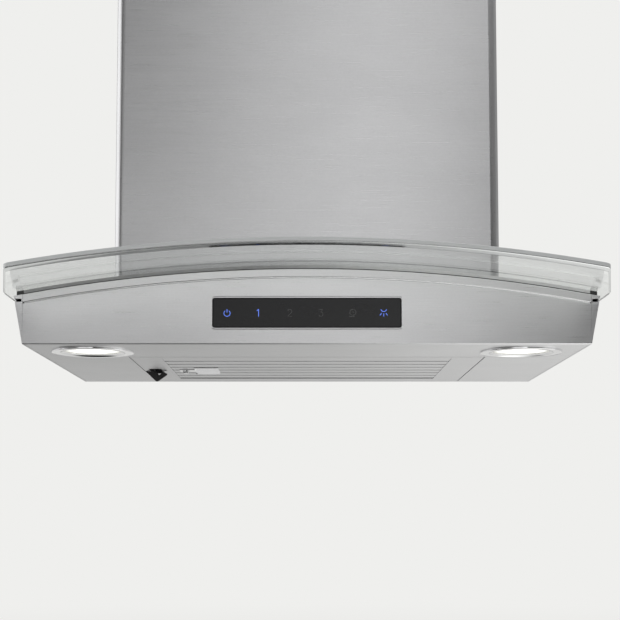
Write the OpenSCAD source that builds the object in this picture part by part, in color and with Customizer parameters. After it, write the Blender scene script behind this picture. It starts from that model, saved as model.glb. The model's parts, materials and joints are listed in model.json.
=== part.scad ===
// Chimney range hood with an arched glass canopy, hung on a wall over a cooker.
// The wall is the plane y = 0 and the room is towards -y. The canopy's underside is z = 0 and x = 0 is
// the middle. Sheets that lie on the arch share one centre line, so each is an offset of the same arch.

/* [Canopy] */
// Width of the canopy at its underside
canopy_w = 561; // [500:1:760]
// How far each end leans out from the underside up to the arched top
end_flare = 9; // [1:0.5:14]
// Depth of the canopy, from the wall to its front
canopy_d = 375; // [345:1:450]
// Height of the canopy at its middle
canopy_h = 75; // [68:1:110]
// Radius of the arched top
arch_r = 1560; // [1300:10:4000]
// Thickness of the canopy's steel sheet
sheet = 1.2; // [0.8:0.1:2]
// Height of the trim rail along the top of the front
rail_h = 8; // [6:0.5:14]
// Open seam between the trim rail and the front panel
rail_seam = 0.8; // [0.4:0.1:2]
// Width of the folded lips that stiffen and join the sheets
lip_w = 12; // [8:1:15]

/* [Glass] */
// Thickness of the glass
glass_t = 6; // [5:0.5:10]
// How far the glass reaches past each end of the canopy
glass_side_lip = 10.5; // [5:0.5:30]
// How far the glass reaches out in front of the canopy
glass_front_lip = 105; // [60:1:160]
// How far each side of the glass draws in from the canopy's front to the front edge
glass_taper = 24; // [4:1:60]
// Radius of the glass's corners, seen from above
glass_corner_r = 7; // [3:1:16]
// Length of the shallow bevel under the glass's front edge
glass_bevel_len = 12; // [6:1:20]
// Rise of that bevel
glass_bevel_rise = 1.25; // [0.5:0.05:2.5]
// Thickness of the rubber strip between canopy and glass
gasket_t = 4.2; // [2:0.1:6]
// Width of the rubber strip
gasket_w = 10; // [6:1:16]
// Distance of the rubber strip from the canopy's edges
gasket_inset = 2.5; // [1:0.5:6]
// Gap between the front rubber strip and each side strip that butts against it
gasket_joint = 0.6; // [0.3:0.1:3]
// Distance of each glass bolt row from the chimney's front and from the wall
glass_bolt_inset = 62; // [40:1:90]
// Diameter of a glass bolt
glass_bolt_d = 6; // [4:1:8]

/* [Chimney] */
// Width of the lower chimney cover
chimney_w = 412; // [360:1:480]
// Depth of the lower chimney cover
chimney_d = 275; // [255:1:320]
// Height of the lower chimney cover above the middle of the glass
lower_chimney_h = 420; // [380:5:600]
// Thickness of the chimney's steel sheet
chimney_sheet = 0.8; // [0.6:0.1:1.4]
// Outer radius of the chimney's upright corners
chimney_corner_r = 10; // [5:0.5:16]
// Width of the lips folded in at the back of each chimney cover
chimney_lip = 16; // [10:1:24]
// Height of upper chimney that shows when it is pushed right down
upper_show = 36; // [30:1:80]
// Height of upper chimney that stays inside when it is drawn right out
upper_overlap = 80; // [50:5:140]
// Number of vent slots on each side of the upper chimney
vent_count = 5; // [2:1:7]
// Length of a vent slot
vent_len = 120; // [60:5:180]
// Width of a vent slot
vent_w = 3.2; // [2:0.2:3.6]
// Spacing of the vent slots
vent_pitch = 9; // [7:0.5:12]

/* [Filter] */
// Width of the baffle filter
filter_w = 378; // [320:1:420]
// Distance from the wall to the filter's rear edge
filter_back = 9; // [6:1:20]
// Thickness of the filter
filter_t = 14; // [12:0.5:18]
// Thickness of the filter's sheet metal
filter_sheet = 0.8; // [0.5:0.1:1]
// Width of the filter frame at its two ends
filter_end_rim = 33; // [29:1:50]
// Width of the filter frame along its front
filter_front_rim = 14; // [8:1:24]
// Width of the filter frame along its back
filter_back_rim = 28; // [12:1:36]
// Number of baffles in the lower row
baffle_count = 7; // [4:1:10]
// Open slot between two lower baffles
baffle_gap = 5; // [3:0.5:6]
// Height of a baffle's folded edges
baffle_lip = 7; // [5:0.5:8]
// Air space between the folded edges of a lower and an upper baffle
baffle_air = 3.5; // [2:0.5:4]
// Diameter of the filter's hinge pins
filter_pin_d = 3; // [2:0.5:4]
// Width of the filter's finger plate
grip_w = 28; // [20:1:60]
// Depth of the filter's finger plate
grip_d = 34; // [20:1:50]
// How far the finger plate's rear lip hangs down
grip_drop = 3; // [2:0.5:6]
// Travel of the filter latch
latch_travel = 6; // [3:0.5:7]
// Width of the latch's thumb piece
thumb_w = 26; // [20:0.5:30]
// How far the thumb piece hangs down
thumb_h = 12.5; // [8:0.5:16]

/* [Lamps] */
// Outer diameter of a lamp's chrome ring
lamp_d = 84; // [70:1:90]
// Diameter of a lamp's opening
lamp_open_d = 58; // [46:1:60]
// Distance from the canopy's end to a lamp's centre
lamp_inset = 60.5; // [50:0.5:80]
// Distance from the canopy's front to the lamp ring
lamp_front_gap = 16; // [8:1:40]
// Distance from the lamp ring to the filter
lamp_filter_gap = 10; // [8:1:24]
// How far the lamp ring stands down from the underside
lamp_drop = 2.2; // [1:0.1:4]
// Height of the lamp's cooling can
lamp_can_h = 17; // [10:1:20]
// Number of cooling grooves round the can
lamp_fins = 4; // [2:1:6]

/* [Touch panel] */
// Width of the touch panel's black window
touch_w = 187; // [150:1:240]
// Height of the touch panel's black window
touch_h = 30; // [20:0.5:32]
// Height of the window's middle above the underside
touch_z = 31; // [24:0.5:36]
// Radius of the window's corners
touch_corner_r = 2.5; // [1:0.5:6]
// Thickness of the window
touch_t = 3; // [2:0.5:4]
// Width of the bright frame round the window
bezel_w = 0.6; // [0.4:0.1:2]

/* [Electrics] */
// Width of the control box
control_w = 116; // [80:1:124]
// Height of the control box
control_h = 26; // [18:1:30]
// Length of the lamp driver
driver_len = 54; // [40:1:58]
// Depth of the lamp driver
driver_d = 34; // [24:1:40]
// Height of the lamp driver
driver_h = 20; // [14:1:26]

/* [Blower] */
// Free width beside the blower box inside the chimney
box_side_gap = 56; // [52:1:70]
// Gap between the blower box's front lip and the upper chimney
box_front_gap = 5; // [3:1:10]
// Free width on each side of the scroll, where the air turns in
inlet_room = 74; // [60:1:80]
// Gap between the scroll and the blower box
scroll_gap = 13; // [4:1:20]
// Thickness of the scroll's walls
scroll_wall = 1; // [0.8:0.1:2]
// Gap between the fan wheel and the scroll's tongue
tongue_gap = 8; // [5:0.5:12]
// Angle of the tongue, from the front round over the top
tongue_a = 120; // [100:1:130]
// Growth of the scroll's radius from the tongue round to the outlet
scroll_growth = 40; // [25:1:45]
// Height of the outlet above the fan's axis
outlet_rise = 130; // [112:1:150]
// Number of blades on the fan wheel
blade_count = 32; // [20:1:44]
// Depth of a blade, from its inner to its outer edge
blade_d = 14; // [10:1:18]
// Thickness of a blade
blade_t = 1; // [0.8:0.1:1.6]
// Angle by which a blade's outer edge leads its inner edge
blade_sweep = 11; // [4:1:14]
// Gap between the fan wheel and each side of the scroll
wheel_side_gap = 4; // [2:0.5:8]
// Diameter of the fan motor
motor_d = 84; // [60:1:90]
// Distance of the blower box's screws from its front and back
box_screw_inset = 40; // [25:1:60]
// Diameter of the motor shaft
shaft_d = 8; // [6:0.5:12]

/* [Outlet] */
// Outer diameter of the duct collar
duct_d = 149; // [120:1:150]
// Height of the duct collar
collar_h = 60; // [45:1:80]
// Thickness of the collar's wall
collar_wall = 1.6; // [1.2:0.1:3]
// Height of the damper flaps' pins above the collar's base
damper_z = 14; // [10:1:20]
// Diameter of the damper flaps' pins
damper_pin_d = 4; // [3:0.5:5]
// Distance between the two damper pins
damper_pin_gap = 7; // [6:0.5:12]

/* [Wall fixing] */
// Distance between the two upper wall holes
hang_spacing = 220; // [160:5:260]
// Diameter of the upper wall holes
hang_hole_d = 8; // [6:0.5:10]
// Distance of the upper wall holes below the top of the blower box
hang_drop = 40; // [25:1:60]
// Distance between the two lower wall holes
lock_spacing = 460; // [430:5:480]
// Height of the lower wall holes above the underside
lock_z = 30; // [24:1:36]
// Diameter of the lower wall holes
lock_hole_d = 6; // [4:0.5:8]
// Distance between the two holes of the chimney's top bracket
bracket_spacing = 300; // [200:5:320]
// Height of the chimney's top bracket
bracket_h = 26; // [16:1:28]

/* [Clearances] */
// Gap between curved faces that lie on each other
seat_gap = 0.1; // [0.05:0.05:0.3]
// Radial clearance of pins and shafts in their holes
pin_clear = 0.05; // [0.01:0.01:0.1]
// Gap between the two chimney covers
slide_gap = 0.6; // [0.4:0.1:3]
// Gap round the filter in its opening
filter_gap = 1.3; // [1.2:0.1:2]
// Gap between plates that are set into an opening
inset_gap = 0.15; // [0.1:0.05:0.5]
// Gap between the latch bolt's tip and its keeper
latch_gap = 0.9; // [0.6:0.1:1.1]
// Gap between a moving piece and its stop
stop_gap = 0.3; // [0.2:0.05:0.6]

/* [Hidden] */

$fn = 64;
arch_fn = 720;
cut = 1;

// Screws through sheets
screw_d = 4;
screw_head_d = 8;
screw_head_h = 2.2;
screw_len = 8;
screw_clear = 0.1;
screw_hole_r = screw_d / 2 + screw_clear;

steel = [0.72, 0.72, 0.71];
dull_steel = [0.62, 0.63, 0.64];
zinc = [0.68, 0.70, 0.72];
chrome = [0.85, 0.85, 0.86];
black = [0.08, 0.08, 0.09];
rubber = [0.14, 0.14, 0.14];

// The canopy's outline: its ends lean along a straight line and its top follows the arch
half_w = canopy_w / 2;
half_top = half_w + end_flare;
arch_cz = canopy_h - arch_r;
function arch_z(x, off = 0) = arch_cz + sqrt(pow(arch_r + off, 2) - x * x);
end_z = arch_z(half_top);
function end_x(z) = half_w + end_flare * z / end_z;
end_sheet = sheet / cos(atan(end_flare / end_z));

// Offsets of the layers above the arch
gasket_off = seat_gap;
glass_off = gasket_off + gasket_t + seat_gap;
glass_top = glass_off + glass_t;
chimney_off = glass_top + seat_gap;
rail_off = -(sheet + seat_gap);

// Rubber bushes round the glass bolts
bush_in_r = glass_bolt_d / 2 + 2;
bush_out_r = bush_in_r + 3.5;
bush_rim_t = 1.5;

// Chimney covers and the blower box inside them
chimney_hw = chimney_w / 2;
upper_hw = chimney_hw - chimney_sheet - slide_gap;
upper_front = chimney_d - chimney_sheet - slide_gap;
upper_back = chimney_sheet + slide_gap;
lower_top_z = arch_z(0, chimney_off) + lower_chimney_h;
box_w = chimney_w - 2 * box_side_gap;
box_tuck = 20;
box_d = upper_front - chimney_sheet - box_front_gap - lip_w;
notch_gap = 2;
notch_hw = box_w / 2 + lip_w + notch_gap;
notch_d = box_d + lip_w + notch_gap;
bolt_x = (notch_hw + upper_hw - chimney_sheet) / 2;
bolt_y = [-glass_bolt_inset, -chimney_d + glass_bolt_inset];
vent_drop = 20;
clip_h = 24;
clip_len = 25;
clip_t = 1.5;
clip_rise = 10;
clip_z = arch_z(box_w / 2, glass_top) + clip_rise;
upper_bottom_z = clip_z + clip_h + 5;
upper_top_z = lower_top_z + upper_show;
upper_travel = lower_top_z - upper_bottom_z - upper_overlap;

// Scroll and fan wheel: the scroll fills the box's depth and the wheel fills the scroll.
// The tongue's side of the scroll faces the wall and the outlet's side faces the room.
function growth(a) = scroll_growth * (a - tongue_a) / (360 - tongue_a);
scroll_depth = box_d - 2 * sheet - 2 * scroll_gap;
tongue_r = (scroll_depth - 2 * scroll_wall - growth(180) - growth(360)) / 2;
function scroll_r(a) = tongue_r + growth(a);
wheel_r = tongue_r - tongue_gap;
wheel_y = -(sheet + scroll_gap + scroll_wall + scroll_r(180));
scroll_floor_gap = 10;
wheel_z = canopy_h + scroll_floor_gap + scroll_wall + scroll_r(270);
box_top_z = wheel_z + outlet_rise + sheet;
scroll_hw = box_w / 2 - inlet_room;
wheel_hw = scroll_hw - scroll_wall - wheel_side_gap;
blade_in_r = wheel_r - blade_d;
blade_edge = 0.4;
inlet_r = blade_in_r - 2;
inlet_lip = 6;
outlet_front = scroll_r(360);
outlet_back = tongue_r * cos(tongue_a);
wheel_disc_t = 1.5;
wheel_ring_t = 2;
hub_r = shaft_d / 2 + 9;
hub_len = 22;
motor_gap = 5;
bracket_t = 3;
bracket_w = 9;
bush_r = 5;
bush_ring_r = inlet_r + inlet_lip + 7;
bracket_angles = [90, 210, 330];
motor_end = scroll_hw + inlet_lip + 0.5 + bracket_t;
box_inner_top = box_top_z - sheet;

// Capacitor, its strap and the cable gland on top of the blower box
strap_t = 1;
capacitor_r = 14;
capacitor_x = -box_w / 2 + capacitor_r + 12;
capacitor_rise = capacitor_r + strap_t;
gland_r = 8;
gland_bore_r = 4;

// Duct collar, over the middle of the scroll's outlet
collar_r = duct_d / 2;
collar_y = wheel_y - (outlet_front + outlet_back) / 2;
collar_lip = 12;
collar_base_t = 2;
collar_screw_r = collar_r + collar_lip / 2;
collar_screw_angles = [45, 135, 225, 315];
stop_w = 5;
stop_t = 1;
flap_t = 1.2;
flap_r = collar_r - collar_wall - 0.6;
damper_pin_z = box_top_z + damper_z;

// Filter, its opening and the front part of the underside
front_rail = lamp_d + lamp_front_gap + lamp_filter_gap;
filter_front = canopy_d - front_rail;
opening_hw = filter_w / 2 + filter_gap;
opening_lip = filter_t + 2;
window_hw = filter_w / 2 - filter_end_rim;
window_front = filter_front - filter_front_rim;
window_back = filter_back + filter_back_rim;
window_d = window_front - window_back;
baffle_seat = filter_end_rim / 3;
baffle_pitch = (window_d - baffle_gap) / baffle_count;
baffle_w = baffle_pitch - baffle_gap;
upper_baffle_w = baffle_gap + 2 * (filter_sheet + baffle_air + filter_sheet);
pin_r = filter_pin_d / 2;
pin_inset = pin_r + 1;
filter_pin_x = filter_w / 2 - pin_inset;
filter_pin_z = pin_inset;

// Latch: a bolt that slides in the end rim, with a finger tab inside a cup
latch_y = -(filter_front + filter_back) / 2 + 14;
latch_w = 10;
latch_t = 2;
latch_z = 5.5;
thumb_t = 4;
thumb_gap = 0.4;
cup_len = 52;
cup_edge = 6;
cup_w = filter_end_rim - baffle_seat - filter_sheet - cup_edge - 2 * inset_gap;
cup_depth = 11;
cup_wall = 1.2;
cup_x = -filter_w / 2 + cup_edge;

// Lamps
lamp_x = half_w - lamp_inset;
lamp_y = -canopy_d + lamp_front_gap + lamp_d / 2;
lamp_r = lamp_d / 2;
lens_r = lamp_open_d / 2 + 1.2;
lens_t = 2;
lamp_neck_r = lens_r + 4;
lamp_neck_h = 9;
lamp_can_r = lamp_neck_r - 1.5;
lamp_clip_reach = 12;
driver_gap = 4;

// Touch panel
bezel_hw = touch_w / 2 + bezel_w;
bezel_hh = touch_h / 2 + bezel_w;
bezel_proud = 0.5;
bezel_lip = 2.5;
bezel_lip_t = 1;

// A solid under the arch, offset by off, between two depths in front of the wall
module under_arch(off, near = -cut, far = canopy_d + cut) {
    translate([0, -near, arch_cz]) {
        rotate([90, 0, 0]) cylinder(r = arch_r + off, h = far - near, $fn = arch_fn);
    }
}

// A layer that lies on the arch, from offset low to offset high
module arch_layer(low, high, near, far) {
    difference() {
        under_arch(high, near, far);
        under_arch(low, near - cut, far + cut);
    }
}

// A box between two depths in front of the wall, even about x = 0
module mid_box(hw, near, far, z0, z1) {
    translate([-hw, -far, z0]) cube([2 * hw, far - near, z1 - z0]);
}

// Places things square to the arch, over a point at x and depth d
module on_arch(x, d, off = 0) {
    translate([0, -d, arch_cz]) {
        rotate([0, asin(x / arch_r), 0]) translate([0, 0, arch_r + off]) children();
    }
}

// The canopy's leaning ends and arched top as one solid, drawn in by inset and off
module canopy_prism(inset, z0, off, near, far) {
    z1 = 2 * canopy_h;
    intersection() {
        translate([0, -near, 0]) rotate([90, 0, 0]) linear_extrude(far - near) polygon([
            [inset - end_x(z0), z0], [end_x(z0) - inset, z0],
            [end_x(z1) - inset, z1], [inset - end_x(z1), z1]
        ]);
        under_arch(off, near - cut, far + cut);
    }
}

// A rectangle with round corners, about the origin
module round_rect(hw, hh, r) {
    square([2 * hw - 2 * r, 2 * hh], center = true);
    square([2 * hw, 2 * hh - 2 * r], center = true);
    for (sx = [-1, 1]) for (sy = [-1, 1]) {
        translate([sx * (hw - r), sy * (hh - r)]) circle(r = r);
    }
}

// A plate in the plane of the front, given from its front depth back to its rear depth
module front_plate(hw, hh, r, rear, front) {
    translate([0, -rear, touch_z]) {
        rotate([90, 0, 0]) linear_extrude(front - rear) round_rect(hw, hh, r);
    }
}

// Points of a corner at p1, rounded with radius r
function unit(v) = v / norm(v);
function corner(p0, p1, p2, r, n = 6) =
    let (u = unit(p0 - p1), v = unit(p2 - p1), half = acos(u * v) / 2)
    let (c = p1 + unit(u + v) * r / sin(half))
    let (s = p1 + u * r / tan(half) - c, e = p1 + v * r / tan(half) - c)
    let (a = atan2(s.y, s.x), turn = atan2(s.x * e.y - s.y * e.x, s * e))
    [for (i = [0:n]) c + r * [cos(a + turn * i / n), sin(a + turn * i / n)]];

// A pan-head screw along +z, with its head's seat at z = 0
module screw(d, len, head_d, head_h) {
    cylinder(d = head_d, h = head_h);
    translate([0, 0, -len]) cylinder(d = d, h = len + cut / 10);
}

// Folded canopy: arched top, leaning ends and back in one sheet, with narrow flanges beside the front
module canopy_shell() {
    relief = [10, 4 * sheet, 3];
    relief_z = arch_z(half_w) - 6;
    color(steel) difference() {
        canopy_prism(0, 0, 0, 0, canopy_d);
        canopy_prism(end_sheet, -cut, -sheet, sheet, canopy_d - sheet);
        mid_box(half_w + inset_gap, canopy_d - sheet, canopy_d + cut, -cut, canopy_h + cut);
        for (s = [-1, 1]) {
            translate([s * (half_w + sheet + relief.x / 2), -canopy_d, relief_z]) cube(relief, center = true);
        }
        mid_box(box_w / 2 - sheet, sheet + lip_w, box_d - sheet, canopy_h - box_tuck, canopy_h + cut);
        for (s = [-1, 1]) {
            translate([s * lock_spacing / 2, cut, lock_z]) {
                rotate([90, 0, 0]) cylinder(d = lock_hole_d, h = sheet + 2 * cut);
            }
            for (d = bolt_y) on_arch(s * bolt_x, -d, -3 * sheet) {
                cylinder(d = glass_bolt_d + 2 * screw_clear, h = 6 * sheet);
            }
        }
        box_screw_places() translate([0, 0, -3 * sheet]) cylinder(r = screw_hole_r, h = 6 * sheet);
    }
}

// Front sheet below the trim rail, with its window cut-out and a lip folded in over the underside
module front_panel() {
    fold_z = sheet;
    color(steel) difference() {
        intersection() {
            union() {
                mid_box(half_w, canopy_d - sheet, canopy_d, 0, canopy_h);
                mid_box(half_w - end_sheet - lip_w, canopy_d - lip_w, canopy_d, fold_z, fold_z + sheet);
            }
            under_arch(-(rail_h + rail_seam), canopy_d - 2 * lip_w, canopy_d + cut);
        }
        front_plate(bezel_hw + inset_gap, bezel_hh + inset_gap, touch_corner_r + bezel_w + inset_gap,
            canopy_d - 2 * sheet, canopy_d + cut);
    }
}

// Arched angle that closes the top of the front, with one leg tucked under the canopy's top
module trim_rail() {
    color(steel) intersection() {
        union() {
            arch_layer(-rail_h, 0, canopy_d - sheet, canopy_d);
            arch_layer(rail_off - sheet, rail_off, canopy_d - sheet - lip_w, canopy_d - sheet / 2);
        }
        mid_box(half_w - inset_gap, canopy_d - 3 * lip_w, canopy_d + cut, 0, canopy_h + cut);
    }
}

// Underside sheet, with holes for the lamps and a lipped opening for the filter
module bottom_panel() {
    hw = half_w - end_sheet - inset_gap;
    near = filter_back - filter_gap;
    far = filter_front + filter_gap;
    color(steel) {
        difference() {
            union() {
                mid_box(hw, sheet, canopy_d - sheet, 0, sheet);
                mid_box(opening_hw + sheet, near - sheet, far + sheet, 0, opening_lip);
                mid_box(hw - lip_w, sheet, 2 * sheet, 0, lip_w);
            }
            mid_box(opening_hw, near, far, -cut, opening_lip + cut);
            for (s = [-1, 1]) {
                translate([s * lamp_x, lamp_y, -cut]) {
                    cylinder(r = lamp_neck_r + inset_gap, h = sheet + 2 * cut);
                }
            }
            translate([-opening_hw - 2 * sheet, latch_y, latch_z]) {
                cube([6 * sheet, latch_w + 2, latch_t + 1.5], center = true);
            }
            for (y = [-near, -far]) translate([filter_pin_x, y, filter_pin_z]) {
                rotate([90, 0, 0]) cylinder(r = pin_r + pin_clear, h = 4 * sheet, center = true);
            }
        }
    }
}

// Arched sheet of glass, bevelled under its front edge and notched at the back round the blower box
module glass_canopy() {
    side = half_top + glass_side_lip;
    tip = side - glass_taper;
    nose = -(canopy_d + glass_front_lip);
    right = concat(
        corner([side, 0], [side, -canopy_d], [tip, nose], 4 * glass_corner_r),
        corner([side, -canopy_d], [tip, nose], [0, nose], glass_corner_r)
    );
    left = [for (i = [len(right) - 1:-1:0]) [-right[i].x, right[i].y]];
    outline = concat([[side, 0]], right, left, [[-side, 0]]);
    color([0.75, 0.85, 0.83, 0.45]) difference() {
        intersection() {
            arch_layer(glass_off, glass_top, 0, canopy_d + glass_front_lip + cut);
            linear_extrude(canopy_h + glass_top + cut) polygon(outline);
        }
        translate([0, nose + glass_bevel_len, arch_cz]) rotate([90, 0, 0]) {
            cylinder(
                r1 = arch_r + glass_off,
                r2 = arch_r + glass_off + glass_bevel_rise,
                h = glass_bevel_len,
                $fn = arch_fn
            );
        }
        mid_box(notch_hw, -cut, notch_d, 0, canopy_h + 2 * glass_top);
        for (s = [-1, 1]) for (d = bolt_y) on_arch(s * bolt_x, -d, glass_off - cut) {
            cylinder(r = bush_in_r + seat_gap, h = glass_t + 2 * cut);
        }
    }
}

// Rubber strips along the canopy's top edges: the front one runs right across, the others butt against it
module glass_gasket() {
    out = half_top - gasket_inset;
    front = canopy_d - gasket_inset;
    color(rubber) difference() {
        intersection() {
            arch_layer(gasket_off, gasket_off + gasket_t, gasket_inset, front);
            mid_box(out, 0, canopy_d, 0, canopy_h + gasket_t + cut);
        }
        mid_box(out - gasket_w, gasket_inset + gasket_w, front - gasket_w, 0, canopy_h + 10);
        mid_box(notch_hw, -cut, notch_d, 0, canopy_h + 10);
        for (s = [-1, 1]) {
            translate([s * out, -front + gasket_w, canopy_h / 2]) {
                cube([3 * gasket_w, gasket_joint, 2 * canopy_h], center = true);
            }
        }
    }
}

// Rubber bushes that line the bolt holes in the glass and stand on the canopy's top
module glass_bushes() {
    color(rubber) for (s = [-1, 1]) for (d = bolt_y) on_arch(s * bolt_x, -d) {
        difference() {
            union() {
                translate([0, 0, seat_gap]) cylinder(r = bush_out_r, h = gasket_t);
                translate([0, 0, seat_gap]) cylinder(r = bush_in_r, h = glass_top);
                translate([0, 0, glass_top + seat_gap]) cylinder(r = bush_out_r, h = bush_rim_t);
            }
            translate([0, 0, -cut]) cylinder(d = glass_bolt_d + 2 * screw_clear, h = 4 * glass_t);
        }
    }
}

// Bolts that hold the glass down, with washers above and nuts under the canopy's top
module glass_bolts() {
    washer_off = glass_top + bush_rim_t + 2 * seat_gap;
    nut_off = -sheet - seat_gap;
    head_h = 4;
    nut_h = 5;
    color(zinc) for (s = [-1, 1]) for (d = bolt_y) on_arch(s * bolt_x, -d) {
        translate([0, 0, washer_off]) cylinder(r = bush_out_r, h = 1);
        translate([0, 0, washer_off + 0.5]) cylinder(d = 1.8 * glass_bolt_d, h = head_h, $fn = 6);
        translate([0, 0, nut_off - nut_h]) cylinder(d = 1.8 * glass_bolt_d, h = nut_h, $fn = 6);
        translate([0, 0, nut_off - nut_h - 2]) {
            cylinder(d = glass_bolt_d, h = washer_off - nut_off + nut_h + 3);
        }
    }
}

// One chimney cover: front and two sides with round corners, and lips folded in at the back
module chimney_cover(hw, front, back, t, z0, z1) {
    mid = (front + back) / 2;
    hd = (front - back) / 2;
    translate([0, -mid, z0]) difference() {
        linear_extrude(z1 - z0) difference() {
            round_rect(hw, hd, chimney_corner_r);
            round_rect(hw - t, hd - t, chimney_corner_r - t);
        }
        translate([-hw + chimney_lip, hd - chimney_corner_r, -cut]) {
            cube([2 * hw - 2 * chimney_lip, 2 * chimney_corner_r, z1 - z0 + 2 * cut]);
        }
    }
}

// Lower chimney cover, its foot cut to the arch of the glass
module lower_chimney() {
    color(steel) difference() {
        chimney_cover(chimney_hw, chimney_d, 0, chimney_sheet, 0, lower_top_z);
        under_arch(chimney_off, -cut, chimney_d + cut);
        chimney_screw_places() cylinder(r = screw_hole_r, h = 4, center = true);
    }
}

// Upper chimney cover, which slides inside the lower one, with vent slots near its top on both sides
module upper_chimney() {
    vent_z = upper_top_z - bracket_h - vent_drop;
    color(steel) difference() {
        chimney_cover(upper_hw, upper_front, upper_back, chimney_sheet, upper_bottom_z, upper_top_z);
        for (i = [0:vent_count - 1]) for (s = [-1, 1]) {
            translate([s * upper_hw, -chimney_d / 2, vent_z - i * vent_pitch]) {
                cube([4 * chimney_sheet, vent_len, vent_w], center = true);
                for (e = [-1, 1]) translate([0, e * vent_len / 2, 0]) {
                    rotate([0, 90, 0]) cylinder(d = vent_w, h = 4 * chimney_sheet, center = true, $fn = 24);
                }
            }
        }
    }
}

// Where the lower chimney is screwed to its clips, head side out
module chimney_screw_places() {
    for (s = [-1, 1]) {
        translate([s * chimney_hw, -chimney_d / 2, clip_z + clip_h / 2]) rotate([0, s * 90, 0]) children();
    }
}

// Brackets that carry the lower chimney's sides from the blower box
module chimney_clips() {
    reach = chimney_hw - chimney_sheet - box_w / 2;
    color(zinc) difference() {
        for (s = [-1, 1]) mirrored(s) translate([box_w / 2, -(chimney_d + clip_len) / 2, clip_z]) {
            cube([clip_t, clip_len, clip_h]);
            cube([reach, clip_len, clip_t]);
            translate([reach - clip_t, 0, 0]) cube([clip_t, clip_len, clip_h]);
        }
        chimney_screw_places() cylinder(r = screw_hole_r, h = 12, center = true);
    }
}

// The same thing on the right for s = 1 and mirrored to the left for s = -1
module mirrored(s) {
    mirror([s < 0 ? 1 : 0, 0, 0]) children();
}

// Screws at the foot of the lower chimney
module chimney_screws() {
    color(zinc) chimney_screw_places() screw(screw_d, screw_len - 3, screw_head_d, screw_head_h);
}

// Flat bar behind the upper chimney's lips, by which its top is fixed to the wall
module top_bracket() {
    hw = upper_hw - chimney_corner_r;
    z0 = upper_top_z - bracket_h - 3;
    color(zinc) difference() {
        mid_box(hw, 0, upper_back, z0, z0 + bracket_h);
        for (s = [-1, 1]) translate([s * bracket_spacing / 2, cut, z0 + bracket_h / 2]) {
            rotate([90, 0, 0]) cylinder(d = lock_hole_d, h = upper_back + 2 * cut);
        }
    }
}

// Black window of the touch panel, set into its bright frame
module touch_window() {
    front = canopy_d + bezel_proud - 0.1;
    color(black) front_plate(touch_w / 2 - inset_gap, touch_h / 2 - inset_gap,
        touch_corner_r, front - touch_t, front);
}

// Thin bright frame round the window, with a lip behind the front sheet
module touch_bezel() {
    back = canopy_d - sheet;
    color(chrome) difference() {
        union() {
            front_plate(bezel_hw, bezel_hh, touch_corner_r + bezel_w,
                back - bezel_lip_t, canopy_d + bezel_proud);
            front_plate(bezel_hw + bezel_lip, bezel_hh + bezel_lip, touch_corner_r + bezel_w,
                back - bezel_lip_t, back);
        }
        front_plate(touch_w / 2, touch_h / 2, touch_corner_r, back - 3, canopy_d + 2);
    }
}

// Circuit board with touch pads and lamps behind the window, and its plug
module touch_board() {
    face = canopy_d + bezel_proud - 0.1 - touch_t;
    board_t = 1.6;
    edge = 2;
    plug = [22, 8, 7];
    color([0.1, 0.35, 0.2]) {
        mid_box(touch_w / 2 - 3 * edge, face - board_t, face,
            touch_z - touch_h / 2 + edge, touch_z + touch_h / 2 - edge);
        translate([touch_w / 4, board_t - face, touch_z]) cube(plug);
    }
}

// Plastic box with the control electronics, on the underside sheet behind the touch panel
module control_box() {
    far = canopy_d - lip_w - 14;
    near = canopy_d - front_rail + 12;
    mid = (near + far) / 2;
    hw = control_w / 2;
    top = sheet + control_h;
    lid_edge = 2;
    ear = 8;
    ear_r = 5;
    color([0.85, 0.85, 0.83]) {
        mid_box(hw, near, far, sheet, top);
        mid_box(hw + lid_edge, near - lid_edge, far + lid_edge, top, top + lid_edge);
        mid_box(hw + ear, mid - ear_r, mid + ear_r, sheet, sheet + lid_edge);
        for (s = [-1, 1]) translate([s * (hw + ear), -mid, sheet]) cylinder(r = ear_r, h = lid_edge);
    }
}

// Driver that feeds the two lamps, beside the right lamp's clip
module lamp_driver() {
    foot = 6;
    foot_t = 2;
    right = lamp_x - lamp_neck_r - lamp_clip_reach - driver_gap;
    color([0.9, 0.9, 0.88]) translate([right - foot - driver_len, lamp_y - driver_d / 2, sheet]) {
        cube([driver_len, driver_d, driver_h]);
        translate([-foot, foot, 0]) cube([driver_len + 2 * foot, driver_d - 2 * foot, foot_t]);
    }
}

// Chrome ring round a lamp: a rounded face below the sheet and a neck up through it
module lamp_ring(s) {
    edge_r = 0.7;
    lip_in = lamp_open_d / 2;
    color(chrome) translate([s * lamp_x, lamp_y, 0]) rotate_extrude($fn = 96) {
        polygon(concat(
            [[lip_in, -1], [lip_in + 1, -lamp_drop]],
            [for (a = [0:22.5:90]) [lamp_r - edge_r + edge_r * sin(a), edge_r - lamp_drop - edge_r * cos(a)]],
            [[lamp_r, 0], [lamp_neck_r, 0], [lamp_neck_r, lamp_neck_h],
             [lens_r + 0.2, lamp_neck_h], [lens_r + 0.2, 0], [lip_in, 0]]
        ));
    }
}

// Frosted disc that lies on the ring's inner lip
module lamp_lens(s) {
    color([0.95, 0.95, 0.92]) translate([s * lamp_x, lamp_y, 0]) cylinder(r = lens_r, h = lens_t);
}

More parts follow.
